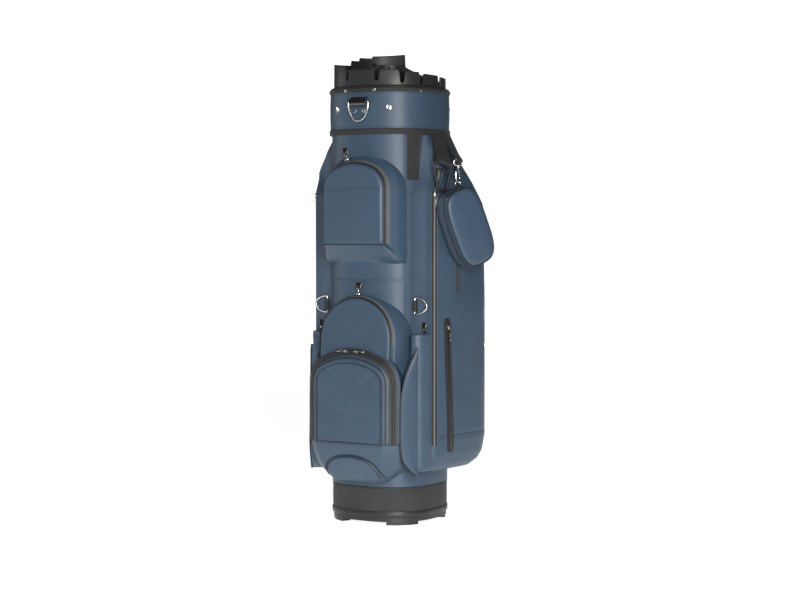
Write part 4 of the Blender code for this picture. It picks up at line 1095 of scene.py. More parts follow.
@dataclass
class Organiser:
    """The moulded top: a spiral rim with notches, the walls between the wells and the putter hub."""

    wardrobe: Wardrobe
    rim: Rim = field(default_factory=Rim)
    half: float = 0.099
    wall: float = 0.0030
    bottom: float = 0.745
    hub_radius: float = 0.030
    hub_top: float = 0.862
    lip: float = 0.0016
    hub_lip: float = 0.0013
    web_half: float = 0.0012
    step_web: float = 193.6
    webs: tuple[float, ...] = (0, 31, 56.5, 84, 117.5, 151.5, 193.6, 230.6, 260.7, 292, 325.5)

    def build(self) -> None:
        """Builds the one moulding out of its rim, hub and walls."""
        shell = bmesh.new()
        self.add_rim(shell)
        self.add_hub(shell)
        for turn in self.webs:
            self.add_web(shell, turn)
        self.add_shelf(shell)
        piece = finish_mesh("club_organiser", shell, 35)
        self.wardrobe.dress(piece, "Moulded Black", ["organiser_top"])

    def turns(self) -> list[float]:
        """Angles of the rim's columns, close together at the notches and the steps."""
        found = {round(k * 1.5, 3) for k in range(240)}
        for notch in self.rim.notches:
            found |= {round((notch + d * sign) % 360, 3) for d in (0, 0.8, 1.6, 2.0, 2.4, 2.8, 3.2, 3.6, 4.2)
                      for sign in (-1, 1)}
        for start, _, _ in self.rim.stretches:
            found |= {round((start + d) % 360, 3) for d in (-0.2, 0.2, 0.5, 0.8, 1.1, 1.4, 1.7)}
        return sorted(found)

    def add_rim(self, shell: bmesh.types.BMesh) -> None:
        """Adds the rim, whose lip is rolled and whose skirt flares a little over the cuff."""
        turns, outer, inner, lip = self.turns(), self.half, self.half - self.wall, self.lip
        tops = [self.rim.height(t) for t in turns]

        def ring(half: float, drop: float) -> list[Vector]:
            return [wall_point(t, half, top - drop) for t, top in zip(turns, tops)]

        rows = [[wall_point(t, outer, self.bottom) for t in turns]]
        for share in (0.35, 0.8):
            rows.append([wall_point(t, outer + 0.0002, self.bottom + (top - lip - self.bottom) * share)
                         for t, top in zip(turns, tops)])
        rolled = [(lip * (1 - math.cos(t)), lip * (1 - math.sin(t))) for t in (0.35, 0.8, 1.2, math.pi / 2)]
        rows.append(ring(outer + 0.0001, lip))
        rows += [ring(outer - back, drop) for back, drop in rolled]
        rows += [ring(inner + back, drop) for back, drop in reversed(rolled)]
        rows += [ring(inner, lip * 2), [wall_point(t, inner, self.bottom) for t in turns]]
        add_rows(shell, rows, close=True)

    def add_hub(self, shell: bmesh.types.BMesh) -> None:
        """Adds the putter tube in the middle, with a rolled lip."""
        radius, lip = self.hub_radius, self.hub_lip
        profile = [(radius, self.bottom), (radius, self.hub_top - 0.0014)]
        for t in spaced(0.0, math.pi, 6)[1:-1]:
            profile.append((radius - lip + lip * math.cos(t), self.hub_top - lip + lip * math.sin(t)))
        profile += [(radius - lip * 2, self.hub_top - 0.0014), (radius - lip * 2, self.bottom)]
        rows = [[Vector((r * math.cos(t), r * math.sin(t), z)) for t in full_turn(64)] for r, z in profile]
        add_rows(shell, rows, close=True)

    def add_web(self, shell: bmesh.types.BMesh, turn: float) -> None:
        """Adds one wall between two wells. Its top edge sags between the hub and the rim, with a rounded crest."""
        out, side = rotated_frame(turn)
        reach = wall_point(turn, self.half - self.wall * 0.5, 0).length
        start = self.hub_radius - self.web_half
        outer_top = min(self.rim.crest(turn - 0.8), self.rim.crest(turn + 0.8)) - 0.0100
        if turn == self.step_web:
            outer_top = self.rim.crest(turn + 0.8) - 0.001
        inner_top = self.hub_top - 0.002
        rows = []
        thick = self.web_half
        for share in spaced(0.0, 1.0, 24):
            where = start + (reach - start) * share
            top = inner_top + (outer_top - inner_top) * share - 0.0025 * math.sin(math.pi * share)
            ring = [(-thick * 1.1, self.bottom + 0.001), (-thick, top - thick)]
            ring += [(thick * math.cos(t), top - thick + thick * math.sin(t)) for t in (2.5, math.pi / 2, 0.64)]
            ring += [(thick, top - thick), (thick * 1.1, self.bottom + 0.001)]
            rows.append([out * where + side * x + UP * z for x, z in ring])
        add_rows(shell, rows, caps=True)

    def add_shelf(self, shell: bmesh.types.BMesh) -> None:
        """Adds the flange under the rim that sits on the cuff's upper edge."""
        profile = [(self.half + 0.0002, 0.8138), (self.half + 0.0040, 0.8143), (self.half + 0.0058, 0.8150),
                   (self.half + 0.0060, 0.8160), (self.half + 0.0052, 0.8168), (self.half + 0.0020, 0.8176),
                   (self.half + 0.0002, 0.8192)]
        rows = [section_ring(half, z, 220) for half, z in profile]
        add_rows(shell, rows, close=True)


# ---- Front pockets -----------------------------------------------------------------------------------------------
Depth = Callable[[float, float], float]


def arch_ring(arch: Arch, inset: float, depth: Depth | float, foot: float | None = None,
              count: int = 168) -> list[Vector]:
    """One closed ring of a pocket.

    Args:
        arch: The pocket's outline.
        inset: How far inside the outline.
        depth: Distance in front of the bag's axis, or that distance at (x, z).
        foot: Height of the ring's bottom edge.
        count: Points in the ring.

    Returns:
        The ring's points.
    """
    reach = depth if callable(depth) else lambda x, z: depth
    low = (arch.bottom if foot is None else foot) - inset
    return [Vector((x, -reach(x, z), z)) for x, z in arch.outline(inset, low, count)]


def shrunk(ring: Sequence[Vector], centre: tuple[float, float], share: float, depth: Depth) -> list[Vector]:
    """A ring drawn towards a centre on the pocket's face."""
    out = []
    for p in ring:
        x, z = centre[0] + (p.x - centre[0]) * share, centre[1] + (p.z - centre[1]) * share
        out.append(Vector((x, -depth(x, z), z)))
    return out


def plane_normals(path: Sequence[Vector], centre: Vector) -> list[Vector]:
    """Normals of an upright arch, away from its centre and square to the path."""
    normals = []
    for i, spot in enumerate(path):
        normal = tangent(path, i).cross(FRONT)
        if normal.dot(spot - centre) < 0:
            normal = -normal
        normals.append(normal.normalized())
    return normals


def facing_edge(arch: Arch, inset: float, depth: Depth | float, foot: float, count: int = 110) -> list[Vector]:
    """An open line over a pocket's arch at a depth."""
    reach = depth if callable(depth) else lambda x, z: depth
    return [Vector((p.x, -reach(p.x, p.z), p.z)) for p in arch.edge(inset, foot, count)]


@dataclass
class UpperPocket:
    """The upper front pocket: a hooded gusset, a zip round it and a padded face."""

    wardrobe: Wardrobe
    arch: Arch = Arch(0.071, 0.515, 0.680, 0.050, 0.100)
    depth: float = 0.132
    gusset_foot: float = 0.488
    crease: float = 0.6265

    def face(self, x: float, z: float) -> float:
        """Depth of the padded face."""
        middle = (self.arch.bottom + self.arch.top) / 2
        round_off = max(0.0, 1 - (x / 0.071) ** 2) * max(0.0, 1 - ((z - middle) / 0.086) ** 2)
        lift = 0.0030 * round_off ** 0.6
        for line, sink in ((self.crease, 0.0007), (self.crease - 0.0180, 0.0004)):
            lift -= sink * math.exp(-(((z - line) / 0.0016) ** 2)) * min(1.0, round_off * 5)
        return self.depth + lift + ripple(Vector((x, 0, z)), 26.0, 0.0007, 2.2)

    def build(self) -> None:
        """Builds the pocket, its zip, its piping, its seams and the painted shade lines under its cords."""
        made, arch = self.wardrobe, self.arch
        rows = [arch_ring(arch, -0.0125, lambda x, z: wall_depth(x) - 0.0015, self.gusset_foot)]
        for inset, depth, foot in (
            (-0.0112, 0.0960, 0.4900), (-0.0080, 0.1020, 0.4945), (-0.0040, 0.1085, 0.4995), (-0.0014, 0.1122, 0.5040),
            (-0.0003, 0.1142, 0.5070), (0.0008, 0.1150, 0.5080), (0.0058, 0.1252, 0.5185), (0.0060, 0.1266, 0.5200),
            (0.0062, 0.1290, 0.5225), (0.0070, 0.1307, 0.5245), (0.0084, 0.1317, 0.5255),
        ):
            rows.append(arch_ring(arch, inset, lambda x, z, d=depth: max(d, wall_depth(x) + 0.001), foot))
        centre = (0.0, 0.602)
        edge = arch_ring(arch, 0.0104, self.face, 0.5285)
        rows.append(edge)
        rows += [shrunk(edge, centre, share, self.face) for share in
                 (0.965, 0.93, 0.88, 0.82, 0.75, 0.67, 0.58, 0.48, 0.38, 0.28, 0.18, 0.09, 0.02)]
        made.dress(lofted("upper_pocket_cover", rows, caps=True, sharp=50), "Blue Panel", ["upper_pocket"])
        arched_zip(made, "upper_pocket", arch, lambda x, z: 0.1201, 0.5240, Vector((0, -0.1201, 0.60)), ["upper_zip"])
        for index, line in enumerate((self.crease + 0.0020, self.crease - 0.0020)):
            path = [Vector((x, -self.face(x, line), line)) for x in spaced(-0.0615, 0.0615, 40)]
            thread = stitch_line(f"upper_pocket_thread_{index}", path, [FRONT] * len(path), lift=0.0001)
            made.dress(thread, "Painted Seam Shade")
        foot = sorted((p for p in arch_ring(arch, 0.0026, 0.1318, 0.5255) if p.z < 0.5290), key=lambda p: p.x)
        self.cord("foot", foot, 0.0012, 0.0021, FRONT)
        root = Vector((0.0815, -(wall_depth(0.0815) + 0.001), 0.4895))
        gusset = [root + Vector((-0.0100, -0.050, 0.0345)) * t for t in spaced(0.0, 1.0, 12)]
        self.cord("gusset", gusset, 0.0010, 0.0016, RIGHT)

    def cord(self, name: str, path: Sequence[Vector], radius: float, drop: float, hint: Vector) -> None:
        """A cord on the pocket, with a near-black tube a little under it as a painted shade line."""
        made = self.wardrobe
        made.dress(tube(f"upper_pocket_cord_{name}", path, radius, hint=hint), "Blue Panel")
        # The near-black tube under the cord is a painted shade line where the pocket's underside lies in shadow.
        under = [p - UP * drop for p in path]
        made.dress(tube(f"upper_pocket_shade_line_{name}", under, 0.0008, hint=hint), "Black Piping")


def arched_zip(made: Wardrobe, name: str, arch: Arch, depth: Depth, foot: float, centre: Vector,
               stands_for: Sequence[str], half: float = 0.0049, inset: float = 0.0034, lean: float = 26.0) -> None:
    """Zip round a pocket's gusset: its dark tape, a lighter edging and the coil beside the face.

    Args:
        made: The finishes.
        name: Name of the pocket.
        arch: The pocket's outline.
        depth: Depth of the tape's middle at (x, z).
        foot: Height that the tape starts from on both sides.
        centre: A point inside the arch.
        stands_for: Plain solids that the zip replaces.
        half: Half width of the tape.
        inset: How far inside the outline the tape's middle runs.
        lean: How far the tape turns to the front, in degrees.
    """
    path = facing_edge(arch, inset, depth, foot)
    c, s = math.cos(math.radians(lean)), math.sin(math.radians(lean))
    radial = plane_normals(path, centre)
    normals = [(r * c + FRONT * s).normalized() for r in radial]
    ahead = [FRONT * c - r * s for r in radial]
    tape = lofted(f"{name}_zip_tape", ribbon_rows(path, normals, half * 2, 0.0012, -0.0002), caps=True)
    made.dress(tape, "Zip Tape", stands_for)
    rear = [p - a * half * 0.34 for p, a in zip(path, ahead)]
    strip = lofted(f"{name}_zip_edging", ribbon_rows(rear, normals, half * 1.15, 0.0005, 0.0009), caps=True)
    made.dress(strip, "Grey Zip Tape")
    front = [p + a * half * 0.62 for p, a in zip(path, ahead)]
    coil = tube(f"{name}_zip_coil", offset_along(front, normals, 0.0011), 0.0010, sides=8)
    made.dress(coil, "Zip Coil")
    piping = tube(f"{name}_piping", [p + a * half * 1.42 for p, a in zip(path, ahead)], 0.0011, sides=8)
    made.dress(piping, "Black Piping")


@dataclass
class LowerPocket:
    """The lower front pocket: a round-topped panel behind the cooler, with a zip over its arch."""

    wardrobe: Wardrobe
    arch: Arch = Arch(0.080, 0.110, 0.428, 0.0799, 0.0801)

    def face(self, x: float, z: float) -> float:
        """Depth of the leaning face."""
        edge = min(1.0, max(0.0, (0.078 - math.hypot(x, max(z - 0.348, 0.0))) / 0.03))
        return self.leaning(z, 0.1272) + 0.0018 * edge + ripple(Vector((x, 0.2, z)), 18.0, 0.0010, 8.8) * edge

    def leaning(self, z: float, limit: float = 0.1268) -> float:
        """Depth of the leaning panel at a height, up to a limit."""
        return min(0.1205 + 0.06 * (self.arch.top - z), limit)

    def build(self) -> None:
        """Builds the pocket, its zip and its seams."""
        made, arch = self.wardrobe, self.arch
        rows = [arch_ring(arch, -0.0110, lambda x, z: wall_depth(x) - 0.0015)]
        for inset, back in (
            (-0.0095, 0.0330), (-0.0060, 0.0245), (-0.0024, 0.0175), (-0.0010, 0.0150), (-0.0002, 0.0134),
            (0.0008, 0.0130), (0.0040, 0.0050), (0.0041, 0.0036), (0.0042, 0.0022), (0.0050, 0.0008), (0.0066, 0.0),
        ):
            rows.append(arch_ring(arch, inset, lambda x, z, b=back: self.leaning(z) - b))
        edge = arch_ring(arch, 0.0088, self.face)
        rows.append(edge)
        rows += [shrunk(edge, (0.0, 0.300), share, self.face) for share in
                 (0.96, 0.91, 0.84, 0.76, 0.66, 0.55, 0.43, 0.30, 0.17, 0.04)]
        made.dress(lofted("lower_pocket_cover", rows, caps=True, sharp=50), "Blue Soft Cloth", ["lower_pocket"])
        arched_zip(made, "lower_pocket", arch, lambda x, z: self.leaning(z) - 0.0090, 0.3360, Vector((0, -0.12, 0.34)),
                   ["lower_zip"], 0.0040, 0.0024, 21.0)


@dataclass
class CoolerPocket:
    """The big insulated pocket low on the front: zip band, double piping, slack face and the yoke under it."""

    wardrobe: Wardrobe
    arch: Arch = Arch(0.100, 0.1570, 0.334, 0.055, 0.150)
    yoke_low: float = 0.0860
    back: float = 0.1268

    def face(self, x: float, z: float) -> float:
        """Depth of the slack face panel, with its slanting creases."""
        across, up = x / 0.069, (z - 0.235) / 0.078
        pillow = max(0.0, 1 - across * across) * max(0.0, 1 - up * up)
        lift = 0.0026 * pillow ** 0.55
        for x0, z0, slope, size in ((-0.040, 0.285, -0.55, 0.0010), (0.045, 0.275, 0.7, 0.0008),
                                    (-0.030, 0.215, -0.35, 0.0007), (0.020, 0.205, 0.25, 0.0006)):
            along = (x - x0) * math.cos(slope) + (z - z0) * math.sin(slope)
            off = -(x - x0) * math.sin(slope) + (z - z0) * math.cos(slope)
            lift -= size * math.exp(-((off / 0.0055) ** 2) - ((along / 0.028) ** 2))
        return 0.1468 + lift + ripple(Vector((x, 0.4, z)), 20.0, 0.0011, 4.4) * min(1.0, pillow * 4)

    def yoke_share(self, z: float) -> float:
        """How far down the yoke a height is: 0 at its top and 1 at its foot."""
        return 1 - clamped((z - self.yoke_low) / (self.arch.bottom - self.yoke_low))

    def yoke_width(self, z: float) -> float:
        """Half width of the yoke at a height."""
        return 0.0985 - 0.0400 * self.yoke_share(z) ** 3

    def yoke_depth(self, x: float, z: float) -> float:
        """Depth of the yoke's face."""
        fall = self.yoke_share(z) ** 1.5
        face, side = 0.1478 - 0.0225 * fall, self.back - 0.0190 * fall
        u = clamped((abs(x) / self.yoke_width(z) - 0.70) / 0.30)
        wave = ripple(Vector((x, 0.1, z)), 24.0, 0.0009, 6.1)
        return face - (face - side) * u ** 1.35 - 0.002 * (x / 0.089) ** 2 + wave * (1 - u)

    def build(self) -> None:
        """Builds the pocket, its zip band, its piping, the yoke and the small pocket on the yoke."""
        self.shell()
        self.zip_band()
        self.cords()
        self.yoke()
        self.tee_pocket()

    def shell(self) -> None:
        """The sides, the sloping border and the face."""
        arch, foot = self.arch, self.arch.bottom
        flank, flare = (Arch(half, foot, arch.top, arch.corner, arch.crown) for half in (0.0890, 0.0935))
        rows = [arch_ring(flank, 0.0, lambda x, z: wall_depth(x) - 0.004, foot), arch_ring(flank, 0.0, 0.1040, foot),
                arch_ring(flare, 0.0, 0.1130, foot)]
        for inset, depth in ((0.0002, 0.1235), (0.0006, 0.1252), (0.0018, 0.1268), (0.0040, 0.1292),
                             (0.0145, 0.1396), (0.0165, 0.1418), (0.0185, 0.1432), (0.0198, 0.1436), (0.0210, 0.1446),
                             (0.0245, 0.1464), (0.0280, 0.1470), (0.0292, 0.1462)):
            rows.append(arch_ring(arch, inset, depth, foot))
        edge = arch_ring(arch, 0.0302, self.face, foot)
        rows.append(edge)
        rows += [shrunk(edge, (0.0, 0.225), share, self.face) for share in
                 (0.97, 0.93, 0.88, 0.82, 0.75, 0.68, 0.60, 0.52, 0.44, 0.36, 0.28, 0.20, 0.12, 0.04)]
        self.wardrobe.dress(lofted("cooler_cover", rows, caps=True, sharp=50), "Blue Soft Cloth", ["cooler_pocket"])

    def border(self, inset: float, depth: float) -> tuple[list[Vector], list[Vector]]:
        """A line on the sloping border and the border's normals along it."""
        path = facing_edge(self.arch, inset, depth, self.arch.bottom + inset + 0.0012, 130)
        start, end = (Vector((p.x, p.y, self.arch.bottom + 0.0006)) for p in (path[0], path[-1]))
        path = [start, *path, end]
        radial = plane_normals(path, Vector((0, path[0].y, 0.23)))
        return path, [(r * 0.70 + FRONT * 0.71).normalized() for r in radial]

    def zip_band(self) -> None:
        """The wide tape on the border with the coil down its middle."""
        made = self.wardrobe
        path, normals = self.border(0.00975, 0.1348)
        tape = lofted("cooler_zip_tape", ribbon_rows(path, normals, 0.0150, 0.0011, 0.0004), caps=True)
        made.dress(tape, "Zip Tape", ["cooler_zip"])
        for index, (inset, depth) in enumerate(((0.0055, 0.1306), (0.0140, 0.1390))):
            line, outward = self.border(inset, depth)
            strip = ribbon_rows(line, outward, 0.0042, 0.0004, 0.0013)
            made.dress(lofted(f"cooler_zip_edging_{index}", strip, caps=True), "Dark Zip Edging")
        coil = tube("cooler_zip_coil", offset_along(path, normals, 0.0015), 0.0013, sides=8)
        made.dress(coil, "Zip Coil")

    def cords(self) -> None:
        """Two cords that run round the face, inside the zip."""
        for name, inset, depth, radius, finish in (("outer", 0.0198, 0.1446, 0.0013, "Black Piping"),
                                                   ("inner", 0.0294, 0.1472, 0.0011, "Painted Seam Shade")):
            path, _ = self.border(inset, depth)
            cord = tube(f"cooler_cord_{name}", path, radius, hint=FRONT)
            self.wardrobe.dress(cord, finish)
        seam = [Vector((x, -self.yoke_depth(x, self.arch.bottom - 0.0010), self.arch.bottom - 0.0004))
                for x in spaced(-0.097, 0.097, 60)]
        self.wardrobe.dress(tube("cooler_cord_foot", seam, 0.0010, hint=UP), "Painted Seam Shade")
        under = [Vector((p.x, -self.yoke_depth(p.x, p.z - 0.0035), p.z - 0.0035)) for p in seam]
        self.wardrobe.dress(stitch_line("cooler_thread_foot", under, [FRONT] * len(under), lift=0.0003), "Painted Seam Shade")

    def yoke(self) -> None:
        """The rounded panel that closes the pocket underneath and carries the small pocket."""
        rows = []
        for z in spaced(self.yoke_low, self.arch.bottom, 26):
            half = self.yoke_width(z)
            ring = [Vector((x, -self.yoke_depth(x, z), z)) for x in spaced(half, -half, 60)]
            back_left, back_right = Vector((-half, -0.052, z)), Vector((half, -0.052, z))
            sides_left = [ring[-1].lerp(back_left, k / 6) for k in range(1, 7)]
            sides_right = [back_right.lerp(ring[0], k / 6) for k in range(0, 6)]
            rows.append(ring + sides_left + sides_right)
        rounding = [[Vector((p.x * share, -0.04 + (p.y + 0.04) * share, p.z - drop)) for p in rows[0]]
                    for drop, share in ((0.0040, 0.93), (0.0030, 0.965), (0.0012, 0.992))]
        self.wardrobe.dress(lofted("cooler_yoke", rounding + rows, caps=True, sharp=50), "Blue Panel")

    def tee_pocket(self) -> None:
        """The small half-oval pocket on the yoke, outlined by two cords."""
        made = self.wardrobe
        middle = 0.0895

        def around(share: float, lift: float, count: int = 96) -> list[Vector]:
            points = []
            for t in full_turn(count):
                x = 0.0600 * share * bent(math.cos(t), 0.85)
                rise = 0.0420 if math.sin(t) > 0 else 0.0035
                z = middle + rise * share * bent(math.sin(t), 0.9)
                points.append(Vector((x, -self.yoke_depth(x, max(z, self.yoke_low)) - lift, z)))
            return points

        rows = [around(share, lift) for share, lift in ((1.0, -0.0012), (1.0, 0.0012), (0.97, 0.0028), (0.92, 0.0038),
                                                        (0.84, 0.0045), (0.7, 0.0052), (0.52, 0.0055), (0.34, 0.0056),
                                                        (0.16, 0.0056), (0.03, 0.0056))]
        made.dress(lofted("tee_pocket_pad", rows, caps=True, sharp=50), "Blue Panel", ["tee_pocket"])
        for name, share, lift in (("inner", 0.955, 0.0036), ("outer", 1.045, 0.0008)):
            path = [p for p in around(share, lift, 120) if p.z > middle + 0.0005]
            path.sort(key=lambda p: -math.atan2(p.z - middle, p.x))
            cord = tube(f"tee_pocket_cord_{name}", path, 0.0009, hint=FRONT)
            made.dress(cord, "Painted Seam Shade")


# ---- Side pockets --------------------------------------------------------------------------------------------------
@dataclass
class SidePanels:
    """Between the front pockets and the sleeves: a leaf-shaped panel on each side, its front edge a black cord, partly
    painted shadow.
    """

    wardrobe: Wardrobe
    near: tuple[float, float] = (0.0990, -0.1245)
    far: tuple[float, float] = (0.1165, -0.0925)
    edge: tuple[tuple[float, float], ...] = (
        (0.0975, 0.98), (0.100, 0.88), (0.107, 0.60), (0.117, 0.32), (0.132, 0.09), (0.160, 0.0), (0.203, 0.0),
        (0.230, 0.02), (0.248, 0.07), (0.275, 0.25), (0.300, 0.52), (0.320, 0.80), (0.334, 0.96),
    )

    def build(self) -> None:
        """Builds both leaves and their edge cords, which are partly piping and partly painted shadow."""
        for side, name in SIDES:
            self.leaf(side, name)

    def leaf(self, side: int, name: str) -> None:
        """One leaf."""
        near, far = Vector((*self.near, 0)), Vector((*self.far, 0))
        out = Vector((far.y - near.y, near.x - far.x, 0)).normalized()
        points = smooth_path([Vector((u, 0, z)) for z, u in self.edge], 6)
        rows, border = [], []
        for spot in points:
            front, back = [], []
            for share in spaced(0.0, 1.0, 10):
                u = spot.x + (1.06 - spot.x) * share
                p = near.lerp(far, u) + UP * spot.z
                p += out * (0.0034 * math.sin(math.pi * min(share * 0.9 + 0.1, 1.0)) + ripple(p, 30.0, 0.0008, 1.3))
                front.append(p)
                inner = Vector((p.x, p.y, 0)) * 0.80
                back.append(Vector((inner.x, inner.y, p.z)))
            border.append(front[0])
            rows.append(front + back[::-1])
        rows = mirror_rows(rows, side)
        self.wardrobe.dress(lofted(f"{name}_leaf", rows, caps=True, sharp=55), "Blue Panel")
        # The black cord on the leaf's front edge is partly piping and partly a painted shadow of the gap beside the
        # cooler pocket.
        cord = tube(f"{name}_leaf_shadow_edge", mirror_rows([border], side)[0], 0.0014, hint=FRONT)
        self.wardrobe.dress(cord, "Black Piping")


@dataclass
class UmbrellaSleeves:
    """The open sleeves beside the cooler that hold an umbrella's tip."""

    wardrobe: Wardrobe
    plan: tuple[tuple[float, float], ...] = (
        (0.0970, -0.0626), (0.0970, -0.0740), (0.0980, -0.0850), (0.1040, -0.0915), (0.1130, -0.0910),
        (0.1215, -0.0835), (0.1270, -0.0720), (0.1280, -0.0626), (0.1180, -0.0626), (0.1070, -0.0626),
    )
    middle: tuple[float, float] = (0.1110, -0.0760)
    low: float = 0.104
    high: float = 0.358
    wall: float = 0.0028

    def build(self) -> None:
        """Builds both sleeves, their hems and their pull tabs."""
        for side, name in SIDES:
            self.sleeve(side, name)

    def ring(self, z: float, inset: float) -> list[Vector]:
        """One ring of the sleeve's wall."""
        loop = resample(smooth_path([Vector((x, y, 0)) for x, y in self.plan], 4, closed=True), 72)
        middle = Vector((*self.middle, 0))
        return [p + (middle - p).normalized() * inset + UP * z for p in loop]

    def sleeve(self, side: int, name: str) -> None:
        """One sleeve."""
        made = self.wardrobe
        rows = [self.ring(self.low + 0.0006, 0.0100), self.ring(self.low, 0.0040), self.ring(self.low + 0.0012, 0.0012)]
        for z in spaced(self.low + 0.004, self.high - 0.002, 40):
            ring = self.ring(z, 0.0)
            for p in ring:
                p += (p - Vector((*self.middle, p.z))).normalized() * ripple(p, 22.0, 0.0014, 9.4 + side)
            rows.append(ring)
        rows += [self.ring(self.high - 0.0006, 0.0002), self.ring(self.high, 0.0010),
                 self.ring(self.high, self.wall - 0.0010), self.ring(self.high - 0.0008, self.wall)]
        rows += [self.ring(z, self.wall) for z in (self.high - 0.02, 0.30, 0.22, 0.14, self.low + 0.0060)]
        rows.append(self.ring(self.low + 0.0052, self.wall + 0.006))
        rows = mirror_rows(rows, side)
        made.dress(lofted(f"{name}_sleeve", rows, caps=True, sharp=50), "Blue Panel", [f"{name}_umbrella_sleeve"])
        for index, z in enumerate((self.high - 0.0080, self.high - 0.0105)):
            path = mirror_rows([self.ring(z, -0.0002)[3:46]], side)[0]
            normals = [Vector((p.x - self.middle[0] * side, p.y - self.middle[1], 0)).normalized() for p in path]
            made.dress(stitch_line(f"{name}_sleeve_thread_{index}", path, normals, lift=0.0005), "Painted Seam Shade")
        spot = Vector((0.1150 * side, -0.0640, 0.3600))
        gloss_tab(made, f"{name}_sleeve_tab", "bag", spot, RIGHT, UP, 0.0110, 0.0190)


def gloss_tab(made: Wardrobe, name: str, body: str, root: Vector, side: Vector, up: Vector, width: float,
              length: float, stands_for: Sequence[str] = ()) -> None:
    """A folded loop of gloss-coated tape, narrow at its root and flared at its end, with a painted highlight strip on
    it.

    Args:
        made: The finishes.
        name: Name of the piece.
        body: Body that it rides on.
        root: Where it starts.
        side: Direction of its width.
        up: Direction that it points in.
        width: Width of its end.
        length: Its length.
        stands_for: Plain solids that it replaces.
    """
    out = side.cross(up).normalized()
    rows, crest = [], []
    for share in spaced(0.0, 1.0, 20):
        half = width * (0.30 + 0.20 * share ** 0.8)
        fold = 0.0011 + 0.0013 * math.sin(math.pi * min(share * 1.15, 1.0))
        if share > 0.9:
            fold *= math.sqrt(max(1 - ((share - 0.9) / 0.1) ** 2, 0.04))
            half *= 1 - 0.12 * ((share - 0.9) / 0.1) ** 2
        spot = root + up * length * share
        rows.append([spot + side * half * bent(c, 0.55) + out * fold * bent(s, 0.8) for c, s in circle(1.0, 24)])
        crest.append(spot + out * (fold * 0.93))
    made.dress(lofted(name, rows, caps=True, sharp=60), "Gloss Black", stands_for, body=body)
    # Two polished strips down the loop's middle, front and back: a painted highlight for the reflection on the gloss.
    for sign, label in ((1, "front"), (-1, "back")):
        line = [p if sign > 0 else p - out * 2 * (p - root).dot(out) for p in crest[4:12]]
        strip = ribbon_rows(line, [out * sign] * len(line), width * 0.14, 0.0006, -0.0002)
        made.dress(lofted(f"{name}_glint_strip_{label}", strip, caps=True), "Polished Steel", body=body)


@dataclass
class GarmentShape:
    """The swelling shape of the right-hand garment pocket; the left one is its mirror image."""

    plan: tuple[tuple[float, float], ...] = (
        (0.070, -0.062), (0.120, -0.062), (0.127, -0.060), (0.136, -0.047), (0.149, -0.005), (0.156, 0.050),
        (0.157, 0.078), (0.151, 0.099), (0.138, 0.112), (0.120, 0.117), (0.088, 0.115), (0.070, 0.090), (0.060, 0.020),
    )
    stations: tuple[tuple[float, float, float], ...] = (
        (0.102, 0.55, 0.60), (0.113, 0.78, 0.85), (0.130, 0.92, 1.0), (0.160, 1.0, 1.0), (0.420, 1.0, 1.0),
        (0.600, 0.94, 1.0), (0.640, 0.64, 1.0), (0.665, 0.42, 1.0), (0.700, 0.14, 0.55), (0.727, 0.04, 0.04),
    )
    steps: int = 8

    def swell(self, z: float) -> tuple[float, float]:
        """How far the flank and the front stand out at a height."""
        rows = self.stations
        z = clamped(z, rows[0][0], rows[-1][0] - 1e-6)
        k = max(i for i in range(len(rows) - 1) if rows[i][0] <= z)
        t = (z - rows[k][0]) / (rows[k + 1][0] - rows[k][0])
        return tuple(rows[k][i] + (rows[k + 1][i] - rows[k][i]) * t for i in (1, 2))

    def outline(self, z: float) -> list[Vector]:
        """The pocket's plan at a height, with the same number of points at every height."""
        swell, front = self.swell(z)
        corners = []
        for index, (x, y) in enumerate(self.plan):
            near = wall_point(math.degrees(math.atan2(x, -y)), SHELL_HALF + 0.0035, 0)
            if math.hypot(x, y) < near.length:
                near = Vector((x, y, 0))
            share = front if index < 4 else swell
            set_back = 0.013 * eased(clamped((z - 0.612) / 0.045)) if index < 4 else 0.0
            corners.append(Vector((near.x + (x - near.x) * share, near.y + (y - near.y) * share + set_back, z)))
        return smooth_path(corners, self.steps, closed=True)

    def spot(self, z: float, side: float, lift: float = 0.0) -> tuple[Vector, Vector]:
        """A point on the flank and the outward normal.

        Args:
            z: Height.
            side: Corner number plus the share of the way to the next corner.
            lift: Height over the surface.

        Returns:
            The point and its normal.
        """
        loop = self.outline(z)
        where = side * self.steps
        k = int(where)
        a, b = loop[k % len(loop)], loop[(k + 1) % len(loop)]
        along = (loop[(k + 2) % len(loop)] - loop[(k - 1) % len(loop)]).normalized()
        normal = Vector((along.y, -along.x, 0))
        return a.lerp(b, where - k) + normal * lift, normal

    def line(self, stations: Sequence[tuple[float, float]], lift: float = 0.0, side: int = 1,
             count: int = 60) -> tuple[list[Vector], list[Vector]]:
        """A line over the flank through (height, side) stations. side 1 is right and -1 is left."""
        run = smooth_path([Vector((s, 0, z)) for z, s in stations], 10)
        run = resample([Vector((p.x * 0.04, 0, p.z)) for p in run], count, closed=False)
        points, normals = [], []
        for p in run:
            spot, normal = self.spot(p.z, p.x / 0.04, lift)
            points.append(Vector((spot.x * side, spot.y, spot.z)))
            normals.append(Vector((normal.x * side, normal.y, 0)))
        return points, normals


